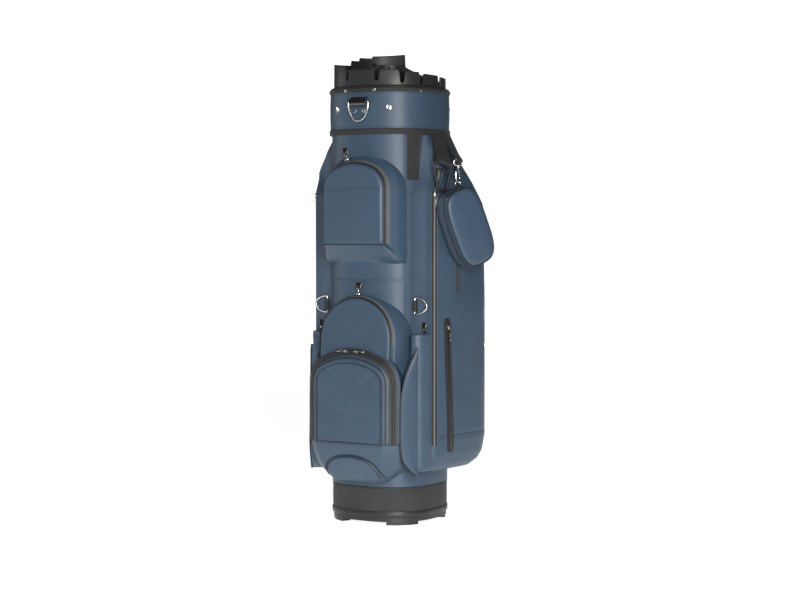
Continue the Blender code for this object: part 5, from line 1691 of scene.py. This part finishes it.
@dataclass
class GarmentPockets:
    """The long pockets on both flanks, with their long zips, a laminated zip and a chest zip on the right."""

    wardrobe: Wardrobe
    shape: GarmentShape = field(default_factory=GarmentShape)
    hem: float = 0.1655
    slant_length: float = 0.252

    def build(self) -> None:
        """Builds both pockets and everything sewn on them."""
        for side, name in SIDES:
            self.pocket(side, name)
            self.long_zip(side, name)
            self.seams(side, name)
        self.laminated_zip()
        self.chest_zip()

    def pocket(self, side: int, name: str) -> None:
        """One pocket's swelling skin, with slack folds near its foot and shoulder."""
        rows = []
        for z in spaced(0.1024, 0.1090, 11) + spaced(0.110, 0.7268, 120):
            loop = self.shape.outline(z)
            count = len(loop)
            ring = []
            for i, p in enumerate(loop):
                ahead, behind, corner = loop[(i + 1) % count], loop[i - 1], i / self.shape.steps
                out = Vector((ahead.y - behind.y, behind.x - ahead.x, 0))
                out = out.normalized() if out.length > 1e-9 else RIGHT
                slack = ripple(p, 9.0, 0.0010, 21.0 + side) + ripple(p, 26.0, 0.0005, 2.0 + side)
                away = min(abs(corner - 2.5), 1.0) if corner < 10 else 0.0
                foot = 0.0012 * math.exp(-(((z - self.hem) / 0.0022) ** 2)) if corner > 2.0 else 0.0
                ring.append(p + out * (slack * away - foot))
            rows.append(ring)
        shrink = [Vector((0.112, 0.02, p.z - 0.0010)).lerp(p, 0.97) for p in rows[0]]
        rows = mirror_rows([shrink] + rows, side)
        self.wardrobe.dress(lofted(f"{name}_garment_cover", rows, caps=True, sharp=50), "Blue Soft Cloth",
                            [f"{name}_garment_pocket"])

    def long_zip(self, side: int, name: str) -> None:
        """The zip up the pocket's front edge: dark tape, brighter edging and coil, bound at the top and foot."""
        made = self.wardrobe
        path, normals = self.shape.line(((0.150, 2.5), (0.164, 2.5), (0.30, 2.5), (0.50, 2.5), (0.662, 2.5)), 0.0, side,
                                        120)
        layers = (("zip_tape", 0.0104, 0.0011, -0.0002, "Zip Tape", [f"{name}_garment_zip"]),
                  ("zip_edging", 0.0034, 0.0005, 0.0009, "Grey Zip Tape", []))
        for label, width, thick, lift, finish, stands_for in layers:
            band = lofted(f"{name}_garment_{label}", ribbon_rows(path, normals, width, thick, lift), caps=True)
            made.dress(band, finish, stands_for)
        coil = tube(f"{name}_garment_zip_coil", offset_along(path, normals, 0.0011), 0.00085, sides=8)
        made.dress(coil, "Grey Zip Coil")
        for index, reach in enumerate((-0.0064, 0.0064)):
            cord = tube(f"{name}_garment_lip_{index}", beside(path, normals, reach, 0.0003), 0.0012, sides=8)
            made.dress(cord, "Blue Soft Cloth")

    def seams(self, side: int, name: str) -> None:
        """The hem near the foot, the slanting seam over the front and the cord up the rear edge."""
        made = self.wardrobe
        lines = {"hem": [(self.hem, corner) for corner in (2.75, 4.0, 5.5, 8.0, 10.0)],
                 "slant": [(0.3990, 2.72), (0.4020, 3.2), (0.4180, 3.75), (0.4330, 4.0)],
                 "rear": [(0.112, 7.0), (0.25, 7.0), (0.45, 7.0), (0.60, 7.0), (0.66, 7.0)]}
        for label, stations in lines.items():
            path, normals = self.shape.line(stations, 0.0, side, 90)
            band = lofted(f"{name}_garment_seam_{label}", ribbon_rows(path, normals, 0.0044, 0.0007, -0.0003),
                          caps=True)
            made.dress(band, "Blue Soft Cloth")
            thread = stitch_line(f"{name}_garment_thread_{label}", path, normals, lift=0.0005)
            made.dress(thread, "Painted Seam Shade")

    def laminated_zip(self) -> None:
        """The slanting water-shedding zip: a smooth dark strip with rounded ends and a seam down its middle."""
        made = self.wardrobe
        stations = ((0.1352, 3.72), (0.20, 3.665), (0.26, 3.61), (0.32, 3.555), (0.3868, 3.50))
        path, normals = self.shape.line(stations, 0.0, 1, 140)
        for label, width, thick, lift, finish, stands_for in (
            ("strip", 0.0158, 0.0010, 0.0002, "Moulded Black", ["slant_zip"]),
            ("garage", 0.0106, 0.0005, 0.0010, "Zip Tape", []), ("coil", 0.0022, 0.0008, 0.0012, "Gloss Black", []),
        ):
            widths = [width] * len(path) if label == "coil" else self.rounded_widths(width, len(path))
            rows = ribbon_rows(path, normals, 1.0, thick, lift, scales=widths)
            made.dress(lofted(f"slant_zip_{label}", rows, caps=True), finish, stands_for, slot="patent")

    def rounded_widths(self, width: float, count: int) -> list[float]:
        """Widths along the laminated zip, whose ends are half circles."""
        runs = [min(i, count - 1 - i) / (count - 1) * self.slant_length for i in range(count)]
        return [width * math.sqrt(max(1 - (1 - min(run / (width / 2), 1.0)) ** 2, 0.02)) for run in runs]

    def chest_zip(self) -> None:
        """The short zip on the rear flank, with the slider parked at its top."""
        made = self.wardrobe
        path, normals = self.shape.line(((0.432, 4.10), (0.51, 4.12), (0.595, 4.14)), 0.0, 1, 60)
        tape = lofted("chest_zip_tape", ribbon_rows(path, normals, 0.0082, 0.0010, 0.0002), caps=True)
        made.dress(tape, "Zip Tape", ["chest_zip"])
        coil = tube("chest_zip_coil", offset_along(path, normals, 0.0013), 0.0009, sides=8)
        made.dress(coil, "Zip Coil")
        spot, normal = path[-3], normals[-3]
        along = (path[-1] - path[-5]).normalized()
        body = slider_body("chest_zip_slider", spot + normal * 0.0012, along, normal)
        made.dress(body, "Polished Steel")
        pull = pull_plate("chest_zip_pull", spot + normal * 0.0042, -along, along.cross(normal), 0.0150, 0.0050)
        made.dress(pull, "Polished Steel")


# ---- Sliders and pulls ------------------------------------------------------------------------------------------
def slider_body(name: str, spot: Vector, along: Vector, normal: Vector) -> bpy.types.Object:
    """A zip slider: two plates on a waist, flared shoulders and the bridge that holds the pull."""
    shell = bmesh.new()
    matrix = aimed(along, normal, spot)
    for low, high, grow in ((0.0001, 0.0008, 1.0), (0.0013, 0.0021, 1.0), (0.0007, 0.0014, 0.72)):
        rows = []
        for z, inset in ((low, 0.0003), (low + 0.0002, 0.0), (high - 0.0002, 0.0), (high, 0.0003)):
            ring = []
            for t in full_turn(32):
                x = math.cos(t) * (0.0047 - inset) * grow
                half = (0.0035 if x > -0.001 else 0.0029 + 0.0006 * (x + 0.0047) / 0.0037) - inset
                ring.append(Vector((x, bent(math.sin(t), 0.7) * half * grow, z)))
            rows.append(ring)
        add_rows(shell, moved(rows, matrix), caps=True)
    bridge = [Vector((0.0030 * math.cos(t), 0, 0.0018 + 0.0020 * math.sin(t))) for t in spaced(0.0, math.pi, 12)]
    section = [(0.0010 * math.cos(t), 0.00042 * math.sin(t)) for t in full_turn(10)]
    rows = sweep_rows(bridge, section, hint=Vector((0.9, 0, 0.1)))
    add_rows(shell, moved(rows, matrix), caps=True)
    return finish_mesh(name, shell, 40)


def pull_plate(name: str, hinge: Vector, along: Vector, across: Vector, length: float, width: float,
               ) -> bpy.types.Object:
    """A metal pull: an eye round the slider's bridge, a waist and a plate with a rounded end and a slot."""
    shell = bmesh.new()
    normal = along.cross(across).normalized()
    matrix = aimed(along, normal, hinge)
    half = width / 2
    outline = [(length - half * 0.9 + half * 0.9 * math.cos(t), half * math.sin(t))
               for t in spaced(math.pi / 2, -math.pi / 2, 8)]
    edge = [(length * 0.50, half), (length * 0.38, half * 0.45), (length * 0.20, half * 0.42),
            (length * 0.10, half * 0.62), (-0.0008, half * 0.62), (-0.0014, half * 0.3)]
    outline += [(x, -y) for x, y in edge] + edge[::-1]
    rows = []
    middle = length * 0.5
    for z, share in ((-0.0007, 0.95), (-0.0005, 1.0), (0.0005, 1.0), (0.0007, 0.95)):
        rows.append([Vector((middle + (x - middle) * (1 - (1 - share) * 0.3), y * share, z)) for x, y in outline])
    add_rows(shell, moved(rows, matrix), caps=True)
    rib = [[Vector((x, half * 0.42 * side, 0.0007 + 0.0002 * up))
            for side, up in ((-1, 0), (-0.7, 1), (0.7, 1), (1, 0))] for x in spaced(length * 0.62, length * 0.88, 6)]
    add_rows(shell, moved(rib, matrix), caps=True)
    return finish_mesh(name, shell, 35)


@dataclass
class ZipPulls:
    """Every slider and pull, each on the body that carries it."""

    wardrobe: Wardrobe
    upper_lean: float = -11.4

    def build(self) -> None:
        """Builds the gloss tabs of the front pockets and the steel sliders of the other zips."""
        made = self.wardrobe
        lean = Vector((0, 0.06, 1)).normalized()
        turn = math.radians(self.upper_lean)
        slope = Vector((math.sin(turn), 0, math.cos(turn)))
        for name, hinge, up in (("upper", Vector((-0.021031, -0.1195, 0.684301)), slope),
                                ("lower", Vector((0, -0.111125, 0.434245)), lean)):
            body = slider_body(f"{name}_slider_body", hinge - up * 0.0044, FRONT.cross(up), up)
            made.dress(body, "Polished Steel", [f"{name}_slider"], body=f"{name}_slider")
            gloss_tab(made, f"{name}_pull_tab", f"{name}_pull", hinge + up * 0.0034, up.cross(FRONT) * -1, up, 0.0140,
                      0.0152, [f"{name}_pull"])
            stem = tube(f"{name}_pull_stem", [hinge + up * (0.0013 + 0.0008 * k) for k in range(4)], 0.0007, sides=10)
            made.dress(stem, "Polished Steel", body=f"{name}_pull")
        for side, word in SIDES:
            along = Vector((0.9968 * side, 0, -0.0802))
            normal = Vector((0.0556 * side, -0.7207, 0.6910))
            self.steel(f"cooler_{word}", Vector((0.011615 * side, -0.140935, 0.328359)), along, normal, along, 0.0210,
                       0.0050)
            self.steel(f"{word}_garment", Vector((0.137338 * side, -0.057541, 0.616)), UP,
                       Vector((0.8222 * side, -0.5692, 0)), -UP, 0.0220, 0.0060)
        along = Vector((-0.0118, -0.0382, 0.9992))
        self.steel("slant", Vector((0.149424, -0.027641, 0.370)), along, Vector((0.9553, -0.2957, 0)), -along, 0.0260,
                   0.0060)

    def steel(self, name: str, hinge: Vector, along: Vector, normal: Vector, pull_along: Vector, length: float,
              width: float) -> None:
        """One slider and its metal pull."""
        made = self.wardrobe
        body = slider_body(f"{name}_slider_body", hinge - normal * 0.0044, along, normal)
        made.dress(body, "Polished Steel", [f"{name}_slider"], body=f"{name}_slider")
        plate = pull_plate(f"{name}_pull_plate", hinge, pull_along, normal.cross(along), length, width)
        made.dress(plate, "Polished Steel", [f"{name}_pull"], body=f"{name}_pull")


# ---- Rings, handle, straps and pouch ----------------------------------------------------------------------------
def rounded_loop(corners: Sequence[Vector], radius: float, steps: int = 6) -> list[Vector]:
    """A closed polygon with its corners rounded."""
    out = []
    count = len(corners)
    for i, spot in enumerate(corners):
        before, after = corners[i - 1] - spot, corners[(i + 1) % count] - spot
        reach = min(radius, before.length * 0.48, after.length * 0.48)
        a, b = spot + before.normalized() * reach, spot + after.normalized() * reach
        for k in range(steps + 1):
            t = k / steps
            out.append(a * (1 - t) ** 2 + spot * 2 * t * (1 - t) + b * t * t)
    return out


def d_ring(pivot: Vector, reach_axis: Vector, bar_axis: Vector, reach: float, bar: float) -> list[Vector]:
    """The wire path of a D ring whose bar runs through its pivot."""
    path = [(0.0, bar / 2 * (1 - 2 * k / 12)) for k in range(13)]
    for k in range(1, 32):
        t = math.pi * (k / 32 - 0.5)
        path.append((reach * math.cos(t), bar / 2 * math.sin(t)))
    return [pivot + reach_axis * x + bar_axis * y for x, y in path]


@dataclass
class RingsAndHandle:
    """The front and side D rings on their tabs, the grab handle and the glove patch."""

    wardrobe: Wardrobe
    wire: float = 0.0018

    def build(self) -> None:
        """Builds the rings, tabs, handle and patch."""
        self.front_ring()
        for side, name in SIDES:
            self.side_ring(side, name)
        self.handle()
        self.glove_patch()

    def front_ring(self) -> None:
        """The D ring on the cuff, its folded tab, two rivets and the stitched V."""
        made = self.wardrobe
        pivot = Vector((0, -0.1115, 0.7880))
        ring = tube("front_ring_wire", d_ring(pivot, -UP, RIGHT, 0.0350, 0.0440), self.wire, closed=True, sides=14)
        made.dress(ring, "Polished Steel", ["front_d_ring"], body="front_ring")
        fold = [Vector((0, -0.1060, 0.7968)), Vector((0, -0.1085, 0.7958)), Vector((0, -0.1122, 0.7936)),
                Vector((0, -0.1148, 0.7900)), Vector((0, -0.1148, 0.7856)), Vector((0, -0.1128, 0.7822)),
                Vector((0, -0.1090, 0.7806)), Vector((0, -0.1060, 0.7800))]
        path = smooth_path(fold, 6)
        section = [(-0.0180, -0.0008), (-0.0182, 0.0), (-0.0176, 0.0009), (0.0, 0.0010), (0.0176, 0.0009),
                   (0.0182, 0.0), (0.0180, -0.0008), (0.0, -0.0009)]
        rows = sweep_rows(path, section, hint=FRONT)
        made.dress(lofted("front_ring_fold", rows, caps=True), "Gloss Black", ["front_ring_tab"])
        for index, x in enumerate((-0.0100, 0.0100)):
            head = dome(f"front_ring_rivet_{index}", Vector((x, -0.1071, 0.7715)), FRONT, 0.0034, 0.0014)
            made.dress(head, "Polished Steel")
        for side in (-1, 1):
            turns = spaced(18.0 * side, 13.5 * side, 12)
            path = [wall_point(t, 0.1060, z) for t, z in zip(turns, spaced(0.8050, 0.7860, 12))]
            normals = [wall_normal(t) for t in turns]
            thread = stitch_line(f"front_ring_thread_{side + 1}", path, normals, lift=0.0001)
            made.dress(thread, "Painted Seam Shade")

    def side_ring(self, side: int, name: str) -> None:
        """A side D ring on its webbing tab."""
        made = self.wardrobe
        pivot = Vector((0.0975 * side, -0.0700, 0.4100))
        reach = RIGHT * side
        ring = tube(f"{name}_ring_wire", d_ring(pivot, reach, UP, 0.0255, 0.0310), self.wire, closed=True, sides=14)
        made.dress(ring, "Polished Steel", [f"{name}_d_ring"], body=f"{name}_ring")
        fold = [(-0.0085, -0.0032), (-0.003, -0.0034)]
        fold += [(0.0031 * math.cos(t), 0.0031 * math.sin(t)) for t in spaced(-math.pi / 2, math.pi / 2, 8)]
        fold += [(-0.003, 0.0034), (-0.0085, 0.0032)]
        path = [pivot + FRONT * ahead + reach * out for ahead, out in fold]
        section = [(-0.0100, -0.0006), (-0.0103, 0.0), (-0.0100, 0.0006), (0.0, 0.0007), (0.0100, 0.0006),
                   (0.0103, 0.0), (0.0100, -0.0006), (0.0, -0.0006)]
        rows = sweep_rows(path, section, hint=reach * -1)
        made.dress(lofted(f"{name}_ring_web", rows, caps=True), "Black Webbing", [f"{name}_ring_tab"])

    def handle(self) -> None:
        """The grab handle on the spine: a padded grip on two webbing anchors."""
        made = self.wardrobe
        y = SHELL_HALF + 0.0062
        low, high, bow = 0.5390, 0.7010, 0.0360
        points = [Vector((0, y + reach, z)) for z, reach in (
            (low + 0.0200, 0.0), (low, 0.0), (low - 0.0040, 0.0040), (low - 0.0030, 0.0120), (low + 0.0300, bow),
            (high - 0.0300, bow), (high + 0.0030, 0.0120), (high + 0.0040, 0.0040), (high, 0.0), (high - 0.0200, 0.0))]
        path = smooth_path(points, 7)
        made.dress(tube("carry_handle_core", path, 0.0026, sides=14, hint=RIGHT), "Black Webbing", ["carry_handle"],
                   body="handle")
        grip = [p for p in path if low + 0.018 < p.z < high - 0.018 and p.y > y + 0.02]
        section = [(0.0085 * math.cos(t), 0.0034 * bent(math.sin(t), 0.8)) for t in full_turn(24)]
        rows = sweep_rows(grip, section, hint=Vector((0, 1, 0)),
                          swell=lambda i: 0.86 + 0.14 * math.sin(math.pi * i / (len(grip) - 1)))
        made.dress(lofted("carry_handle_grip", rows, caps=True, sharp=60), "Black Piping", body="handle")
        for word, z in (("upper", 0.6900), ("lower", 0.5500)):
            for index, (size, bevel, depth, stands_for) in enumerate((
                ((0.0260, 0.0018, 0.0270), 0.0008, 0.0016, [f"handle_{word}_anchor"]),
                ((0.0258, 0.0020, 0.0156), 0.0009, 0.0102, []),
            )):
                flap = moved(box_rows(size, bevel), Matrix.Translation((0, SHELL_HALF + depth, z)))
                made.dress(lofted(f"handle_{word}_web_{index}", flap, caps=True), "Black Webbing", stands_for)
            for sign in (-1, 1):
                cheek = moved(box_rows((0.0060, 0.0088, 0.0152), 0.0010),
                              Matrix.Translation((0.0098 * sign, SHELL_HALF + 0.0060, z)))
                made.dress(lofted(f"handle_{word}_cheek_{sign + 1}", cheek, caps=True), "Black Webbing")

    def glove_patch(self) -> None:
        """The rough patch that a glove is pressed onto, with its stitched border."""
        rows = []
        for z in spaced(0.6440, 0.7280, 60):
            path, normals = arc(48.0, 61.0, SHELL_HALF + 0.0004, z, 0.6)
            front = [p + n * (0.0021 if 0 < i < len(path) - 1 else 0.0014)
                     for i, (p, n) in enumerate(zip(path, normals))]
            rows.append(front + [p - n * 0.0004 for p, n in zip(path, normals)][::-1])
        self.wardrobe.dress(lofted("glove_patch_pile", rows, caps=True), "Glove Patch", ["glove_patch"])


@dataclass
class HangingGear:
    """The straps under the cuff, the towel hook, the snap hook and the valuables pouch on it."""

    wardrobe: Wardrobe
    towel_root: Vector = field(default_factory=lambda: Vector((0.1120, -0.0100, UNDER_CUFF)))
    towel_eye: Vector = field(default_factory=lambda: Vector((0.1465, -0.0510, 0.6760)))
    clip_root: Vector = field(default_factory=lambda: Vector((0.1125, 0.0220, UNDER_CUFF)))
    clip_eye: Vector = field(default_factory=lambda: Vector((0.1440, 0.0080, 0.6820)))
    pouch_middle: Vector = field(default_factory=lambda: Vector((0.1770, -0.0190, 0.5560)))
    towel_azimuth: float = 75.0
    clip_azimuth: float = 92.0
    pouch_azimuth: float = 65.0
    pouch_tilt: float = 23.0
    pouch_half: tuple[float, float, float] = (0.0392, 0.0725, 0.0195)

    def build(self) -> None:
        """Builds the straps, both hooks and the pouch."""
        self.strap("towel_strap", self.towel_root, self.towel_eye, self.towel_azimuth, 0.0320, 0.0021)
        self.strap("pouch_strap", self.clip_root, self.clip_eye, self.clip_azimuth, 0.0240, 0.0017)
        self.towel_hook()
        self.snap_hook()
        self.pouch()

    def strap(self, name: str, root: Vector, eye: Vector, azimuth: float, width: float, wire: float) -> None:
        """Webbing that runs down from the cuff, round a bar and back up behind itself, with its bar tack."""
        made = self.wardrobe
        normal, side = rotated_frame(azimuth)
        down = (eye - root).normalized()
        out = side.cross(down).normalized()
        if out.dot(normal) < 0:
            out = -out
        turn = wire + 0.0014
        path = [root - down * 0.004 + out * 0.0008]
        path += [root.lerp(eye, t) + out * (0.0008 + (turn - 0.0008) * max(0.0, (t - 0.7) / 0.3)) for t in
                 (0.1, 0.25, 0.4, 0.55, 0.7, 0.8, 0.9)]
        for t in spaced(math.pi / 2, -math.pi / 2, 8):
            path.append(eye + out * turn * math.sin(t) + down * turn * math.cos(t))
        path += [eye - out * turn - down * 0.004, eye - out * 0.0016 - down * 0.012, eye - out * 0.0012 - down * 0.024]
        half, thin = width / 2, 0.0007
        section = [(-half, -thin * 0.6), (-half - 0.0002, 0), (-half, thin * 0.6), (-half * 0.5, thin), (0, thin),
                   (half * 0.5, thin), (half, thin * 0.6), (half + 0.0002, 0), (half, -thin * 0.6), (0, -thin)]
        rows = sweep_rows(path, section, hint=out)
        made.dress(lofted(f"{name}_web", rows, caps=True), "Black Webbing", [name])
        spot = eye - down * 0.0165 + out * 0.0030
        runs = (((-1, 0), (1, 0)), ((-1, 1), (1, 1)), ((-1, 0), (1, 1)), ((-1, 1), (1, 0)))
        for index, run in enumerate(runs):
            a, b = (spot + side * x * half * 0.82 - down * z * 0.0100 for x, z in run)
            path = [a.lerp(b, k / 12) for k in range(13)]
            thread = stitch_line(f"{name}_tack_{index}", path, [out] * 13, lift=-0.0003)
            made.dress(thread, "Black Piping")

    def towel_hook(self) -> None:
        """The moulded trapezoid hook with its slanting bar."""
        made = self.wardrobe
        _, side = rotated_frame(self.towel_azimuth)

        def at(x: float, z: float) -> Vector:
            return self.towel_eye + side * x + UP * z

        corners = [at(x, z) for x, z in ((-0.0215, 0.0), (-0.0230, -0.0060), (-0.0120, -0.0520), (0.0100, -0.0520),
                                         (0.0230, -0.0060), (0.0215, 0.0))]
        loop = rounded_loop(corners, 0.0040)
        section = [(0.0024 * bent(math.cos(t), 0.75), 0.0019 * math.sin(t)) for t in full_turn(16)]
        frame = lofted("towel_hook_frame", sweep_rows(loop, section, closed=True, hint=side.cross(UP)), close=True)
        made.dress(frame, "Moulded Black", ["towel_hook"], body="towel_hook")
        bar = smooth_path([at(-0.0221, -0.0120), at(0.0, -0.0145), at(0.0196, -0.0210)], 8)
        made.dress(tube("towel_hook_bar", bar, 0.0019, sides=12), "Moulded Black", body="towel_hook")

    def snap_hook(self) -> None:
        """The steel snap hook: strap frame, swivel, hook and sprung gate."""
        made = self.wardrobe
        _, side = rotated_frame(self.clip_azimuth)

        def at(x: float, z: float) -> Vector:
            return self.clip_eye + side * x + UP * z

        frame = rounded_loop([at(x, z) for x, z in ((-0.0150, 0), (-0.0150, -0.0100), (0.0150, -0.0100), (0.0150, 0))],
                             0.0034)
        made.dress(tube("snap_hook_frame", frame, 0.0017, closed=True, sides=14), "Polished Steel", ["snap_hook"],
                   body="snap_hook")
        out, collar = side.cross(UP), []
        for z, radius in ((-0.0100, 0.0024), (-0.0112, 0.0036), (-0.0136, 0.0038), (-0.0148, 0.0030),
                          (-0.0160, 0.0024)):
            collar.append([at(0, z) + (side * math.cos(t) + out * math.sin(t)) * radius for t in full_turn(20)])
        made.dress(lofted("snap_hook_swivel", collar, caps=True), "Polished Steel", body="snap_hook")
        bow = [(0, -0.0150), (-0.0016, -0.0172), (-0.0060, -0.0205), (-0.0072, -0.0260), (-0.0072, -0.0330)]
        bow += [(0.0072 * math.cos(t), -0.0350 + 0.0072 * math.sin(t)) for t in spaced(math.pi, math.tau, 12)[1:-1]]
        bow += [(0.0072, -0.0345), (0.0070, -0.0330)]
        spine = smooth_path([at(x, z) for x, z in bow], 4)
        rows = sweep_rows(spine, circle(0.0018, 14), hint=side,
                          swell=lambda i: 1.0 if i < len(spine) * 0.85 else 1.0 - 0.25 * (i / len(spine) - 0.85) / 0.15)
        made.dress(lofted("snap_hook_bow", rows, caps=True, sharp=60), "Polished Steel", body="snap_hook")
        gate = smooth_path([at(0.0020, -0.0185), at(0.0046, -0.0250), at(0.0072, -0.0322)], 6)
        made.dress(tube("snap_gate_bar", gate, 0.0014, sides=12), "Polished Steel", ["snap_gate"], body="snap_gate")

    def pouch(self) -> None:
        """The stuffed pouch: two piped faces, a gusset with its zip, and the webbing loop on a small ring."""
        made = self.wardrobe
        normal, side = rotated_frame(self.pouch_azimuth)
        tilt = math.radians(self.pouch_tilt)
        long_axis = UP * math.cos(tilt) - side * math.sin(tilt)
        short_axis = long_axis.cross(normal).normalized()
        if short_axis.dot(side) < 0:
            short_axis = -short_axis
        half_width, half_length, d = self.pouch_half

        def spot(turn: float, share: float, depth: float) -> Vector:
            c, s = math.cos(turn), math.sin(turn)
            a, b = half_width * share * bent(c, 0.60), half_length * share * bent(s, 0.60)
            p = self.pouch_middle + short_axis * a + long_axis * b + normal * depth
            return p + normal * ripple(p, 32.0, 0.0012 * (1 - share * share), 15.0)

        def ring(share: float, depth: float, count: int = 120) -> list[Vector]:
            return [spot(turn, share, depth) for turn in full_turn(count)]

        rows = [ring(share, -d + 0.0008 - 0.0024 * (1 - share ** 2.4)) for share in (0.02, 0.2, 0.4, 0.6, 0.78, 0.9)]
        rows += [ring(0.955, -d + 0.0014), ring(0.985, -d + 0.0034), ring(0.992, -d + 0.0060), ring(1.0, -0.0042),
                 ring(0.990, -0.0034), ring(0.990, 0.0034), ring(1.0, 0.0042), ring(0.992, d - 0.0060),
                 ring(0.985, d - 0.0036), ring(0.955, d - 0.0016)]
        rows += [ring(share, d - 0.0008 + 0.0034 * (1 - share ** 2.2))
                 for share in (0.90, 0.80, 0.68, 0.54, 0.40, 0.26, 0.12, 0.02)]
        shell = lofted("pouch_cover", rows, caps=True, sharp=50)
        made.dress(shell, "Blue Panel", ["pouch"], body="pouch")
        for label, depth in (("front", d - 0.0032), ("back", -d + 0.0032)):
            cord = tube(f"pouch_piping_{label}", ring(0.992, depth), 0.0012, closed=True, sides=8)
            made.dress(cord, "Painted Seam Shade", body="pouch")
        seam = ring(0.990, 0.0)
        tape = ribbon_rows(seam, [self.outward(p, normal) for p in seam], 0.0064, 0.0007, -0.0001, closed=True)
        made.dress(lofted("pouch_zip_tape", tape, close=True), "Zip Tape", body="pouch")
        coil_path = [p + self.outward(p, normal) * 0.0007 for p in ring(0.990, 0.0, 160)]
        made.dress(tube("pouch_zip_coil", coil_path, 0.0009, closed=True, sides=8), "Zip Coil", body="pouch")
        self.pouch_loop(short_axis, long_axis, half_length)

    def outward(self, spot: Vector, normal: Vector) -> Vector:
        """Direction away from the pouch's middle, in the pouch's own plane."""
        away = spot - self.pouch_middle
        return (away - normal * away.dot(normal)).normalized()

    def pouch_loop(self, short_axis: Vector, long_axis: Vector, half_length: float) -> None:
        """The small ring on the snap hook and the webbing loop down to the pouch."""
        made = self.wardrobe
        _, hook_side = rotated_frame(self.clip_azimuth)
        hook_bottom = self.clip_eye + UP * -0.0422
        out = Vector((hook_side.y, -hook_side.x, 0))
        eye = [hook_bottom + UP * -0.0012 + out * c + UP * s for c, s in circle(0.0052, 32)]
        made.dress(tube("pouch_ring", eye, 0.0013, closed=True, sides=12), "Polished Steel", body="pouch")
        top = self.pouch_middle + long_axis * (half_length - 0.0060) + short_axis * 0.0200
        start = hook_bottom + UP * -0.0062
        path = smooth_path([start, start.lerp(top, 0.4) + UP * 0.001, top, top - long_axis * 0.004], 6)
        section = [(-0.0045, -0.0009), (-0.0048, 0), (-0.0045, 0.0009), (0, 0.0011), (0.0045, 0.0009), (0.0048, 0),
                   (0.0045, -0.0009), (0, -0.0011)]
        made.dress(lofted("pouch_loop_web", sweep_rows(path, section, hint=out), caps=True), "Black Webbing",
                   body="pouch")


# ---- Studio ------------------------------------------------------------------------------------------------------
@dataclass
class Studio:
    """White sweep, soft lights and the camera."""

    azimuth: float = 32.0
    distance: float = 3.6
    eye_height: float = 0.5636
    lens: float = 84.8
    pitch: float = 2.34
    yaw: float = 0.30
    glow: float = 0.84
    ambient: float = 0.05
    sweep_half: float = 2.7

    def build(self) -> None:
        """Builds the sweep, the lights, the world and the camera."""
        self.sweep()
        self.lights()
        self.camera()

    def sweep(self) -> None:
        """A floor that curves up into a white backdrop, with a faint glow."""
        material = bpy.data.materials.new("Studio White")
        material.use_nodes = True
        tree = material.node_tree
        shader = tree.nodes["Principled BSDF"]
        shader.inputs["Base Color"].default_value = (0.90, 0.90, 0.90, 1)
        shader.inputs["Roughness"].default_value = 0.9
        shader.inputs["Emission Color"].default_value = (1, 1, 1, 1)
        shader.inputs["Emission Strength"].default_value = self.glow
        front, side = rotated_frame(self.azimuth)
        profile = [(-1.1, 0.0), (4.4, 0.0), (5.0, 0.03), (5.6, 0.18), (6.1, 0.48), (6.4, 0.95), (6.5, 1.7), (6.5, 2.6)]
        path = smooth_path([UP * (z - 0.0002) - front * x for x, z in profile], 6)
        rows = [[p - side * self.sweep_half, p + side * self.sweep_half] for p in path]
        floor = lofted("studio_sweep", rows, wrap=False)
        floor.data.materials.append(material)

    def lights(self) -> None:
        """A broad key near the camera, a strip on the left, a front fill and a faint white world."""
        bpy.context.scene.view_settings.view_transform = "Standard"
        world = bpy.data.worlds.new("Studio World")
        world.use_nodes = True
        world.node_tree.nodes["Background"].inputs["Color"].default_value = (1, 1, 1, 1)
        world.node_tree.nodes["Background"].inputs["Strength"].default_value = self.ambient
        bpy.context.scene.world = world
        for name, azimuth, radius, height, size, energy in (
            ("key", 40.0, 2.6, 0.80, 0.55, 84.0), ("left_strip", -70.0, 2.2, 0.9, 0.4, 7.0),
            ("front", 4.0, 2.8, 1.6, 0.8, 16.0),
        ):
            data = bpy.data.lights.new(f"studio_{name}", "AREA")
            data.shape, data.energy, data.size, data.size_y = "RECTANGLE", energy, size, size * 2.6
            lamp = bpy.data.objects.new(f"studio_{name}", data)
            a = math.radians(azimuth)
            lamp.location = Vector((math.sin(a) * radius, -math.cos(a) * radius, height))
            lamp.rotation_mode = "QUATERNION"
            lamp.rotation_quaternion = (Vector((0, 0, 0.45)) - lamp.location).to_track_quat("-Z", "Y")
            bpy.context.scene.collection.objects.link(lamp)

    def camera(self) -> None:
        """The camera, level with the middle of the bag."""
        data = bpy.data.cameras.new("studio_camera")
        data.lens, data.sensor_width = self.lens, 36.0
        data.clip_start, data.clip_end = 0.05, 50.0
        eye = bpy.data.objects.new("studio_camera", data)
        a = math.radians(self.azimuth)
        eye.location = Vector((math.sin(a) * self.distance, -math.cos(a) * self.distance, self.eye_height))
        eye.rotation_euler = (math.radians(90 - self.pitch), 0.0, math.radians(self.azimuth - self.yaw))
        bpy.context.scene.collection.objects.link(eye)
        bpy.context.scene.camera = eye


def main() -> None:
    logging.basicConfig(level=logging.INFO, format="%(message)s")
    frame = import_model()
    wardrobe = Wardrobe()
    for node, finish in (("base_pan", "Moulded Black"), ("left_stay", "Drawn Aluminium"),
                         ("right_stay", "Drawn Aluminium")):
        item = frame["nodes"][node]
        item.data.materials.clear()
        item.data.materials.append(wardrobe.made[finish])
    for part in (FootOfBag, Tube, Cuff, Organiser, UpperPocket, LowerPocket, CoolerPocket, SidePanels, UmbrellaSleeves,
                 GarmentPockets, ZipPulls, RingsAndHandle, HangingGear):
        LOG.info("building %s", part.__name__)
        part(wardrobe).build()
    Studio().build()
    bpy.context.view_layer.update()


if __name__ == "__main__":
    main()
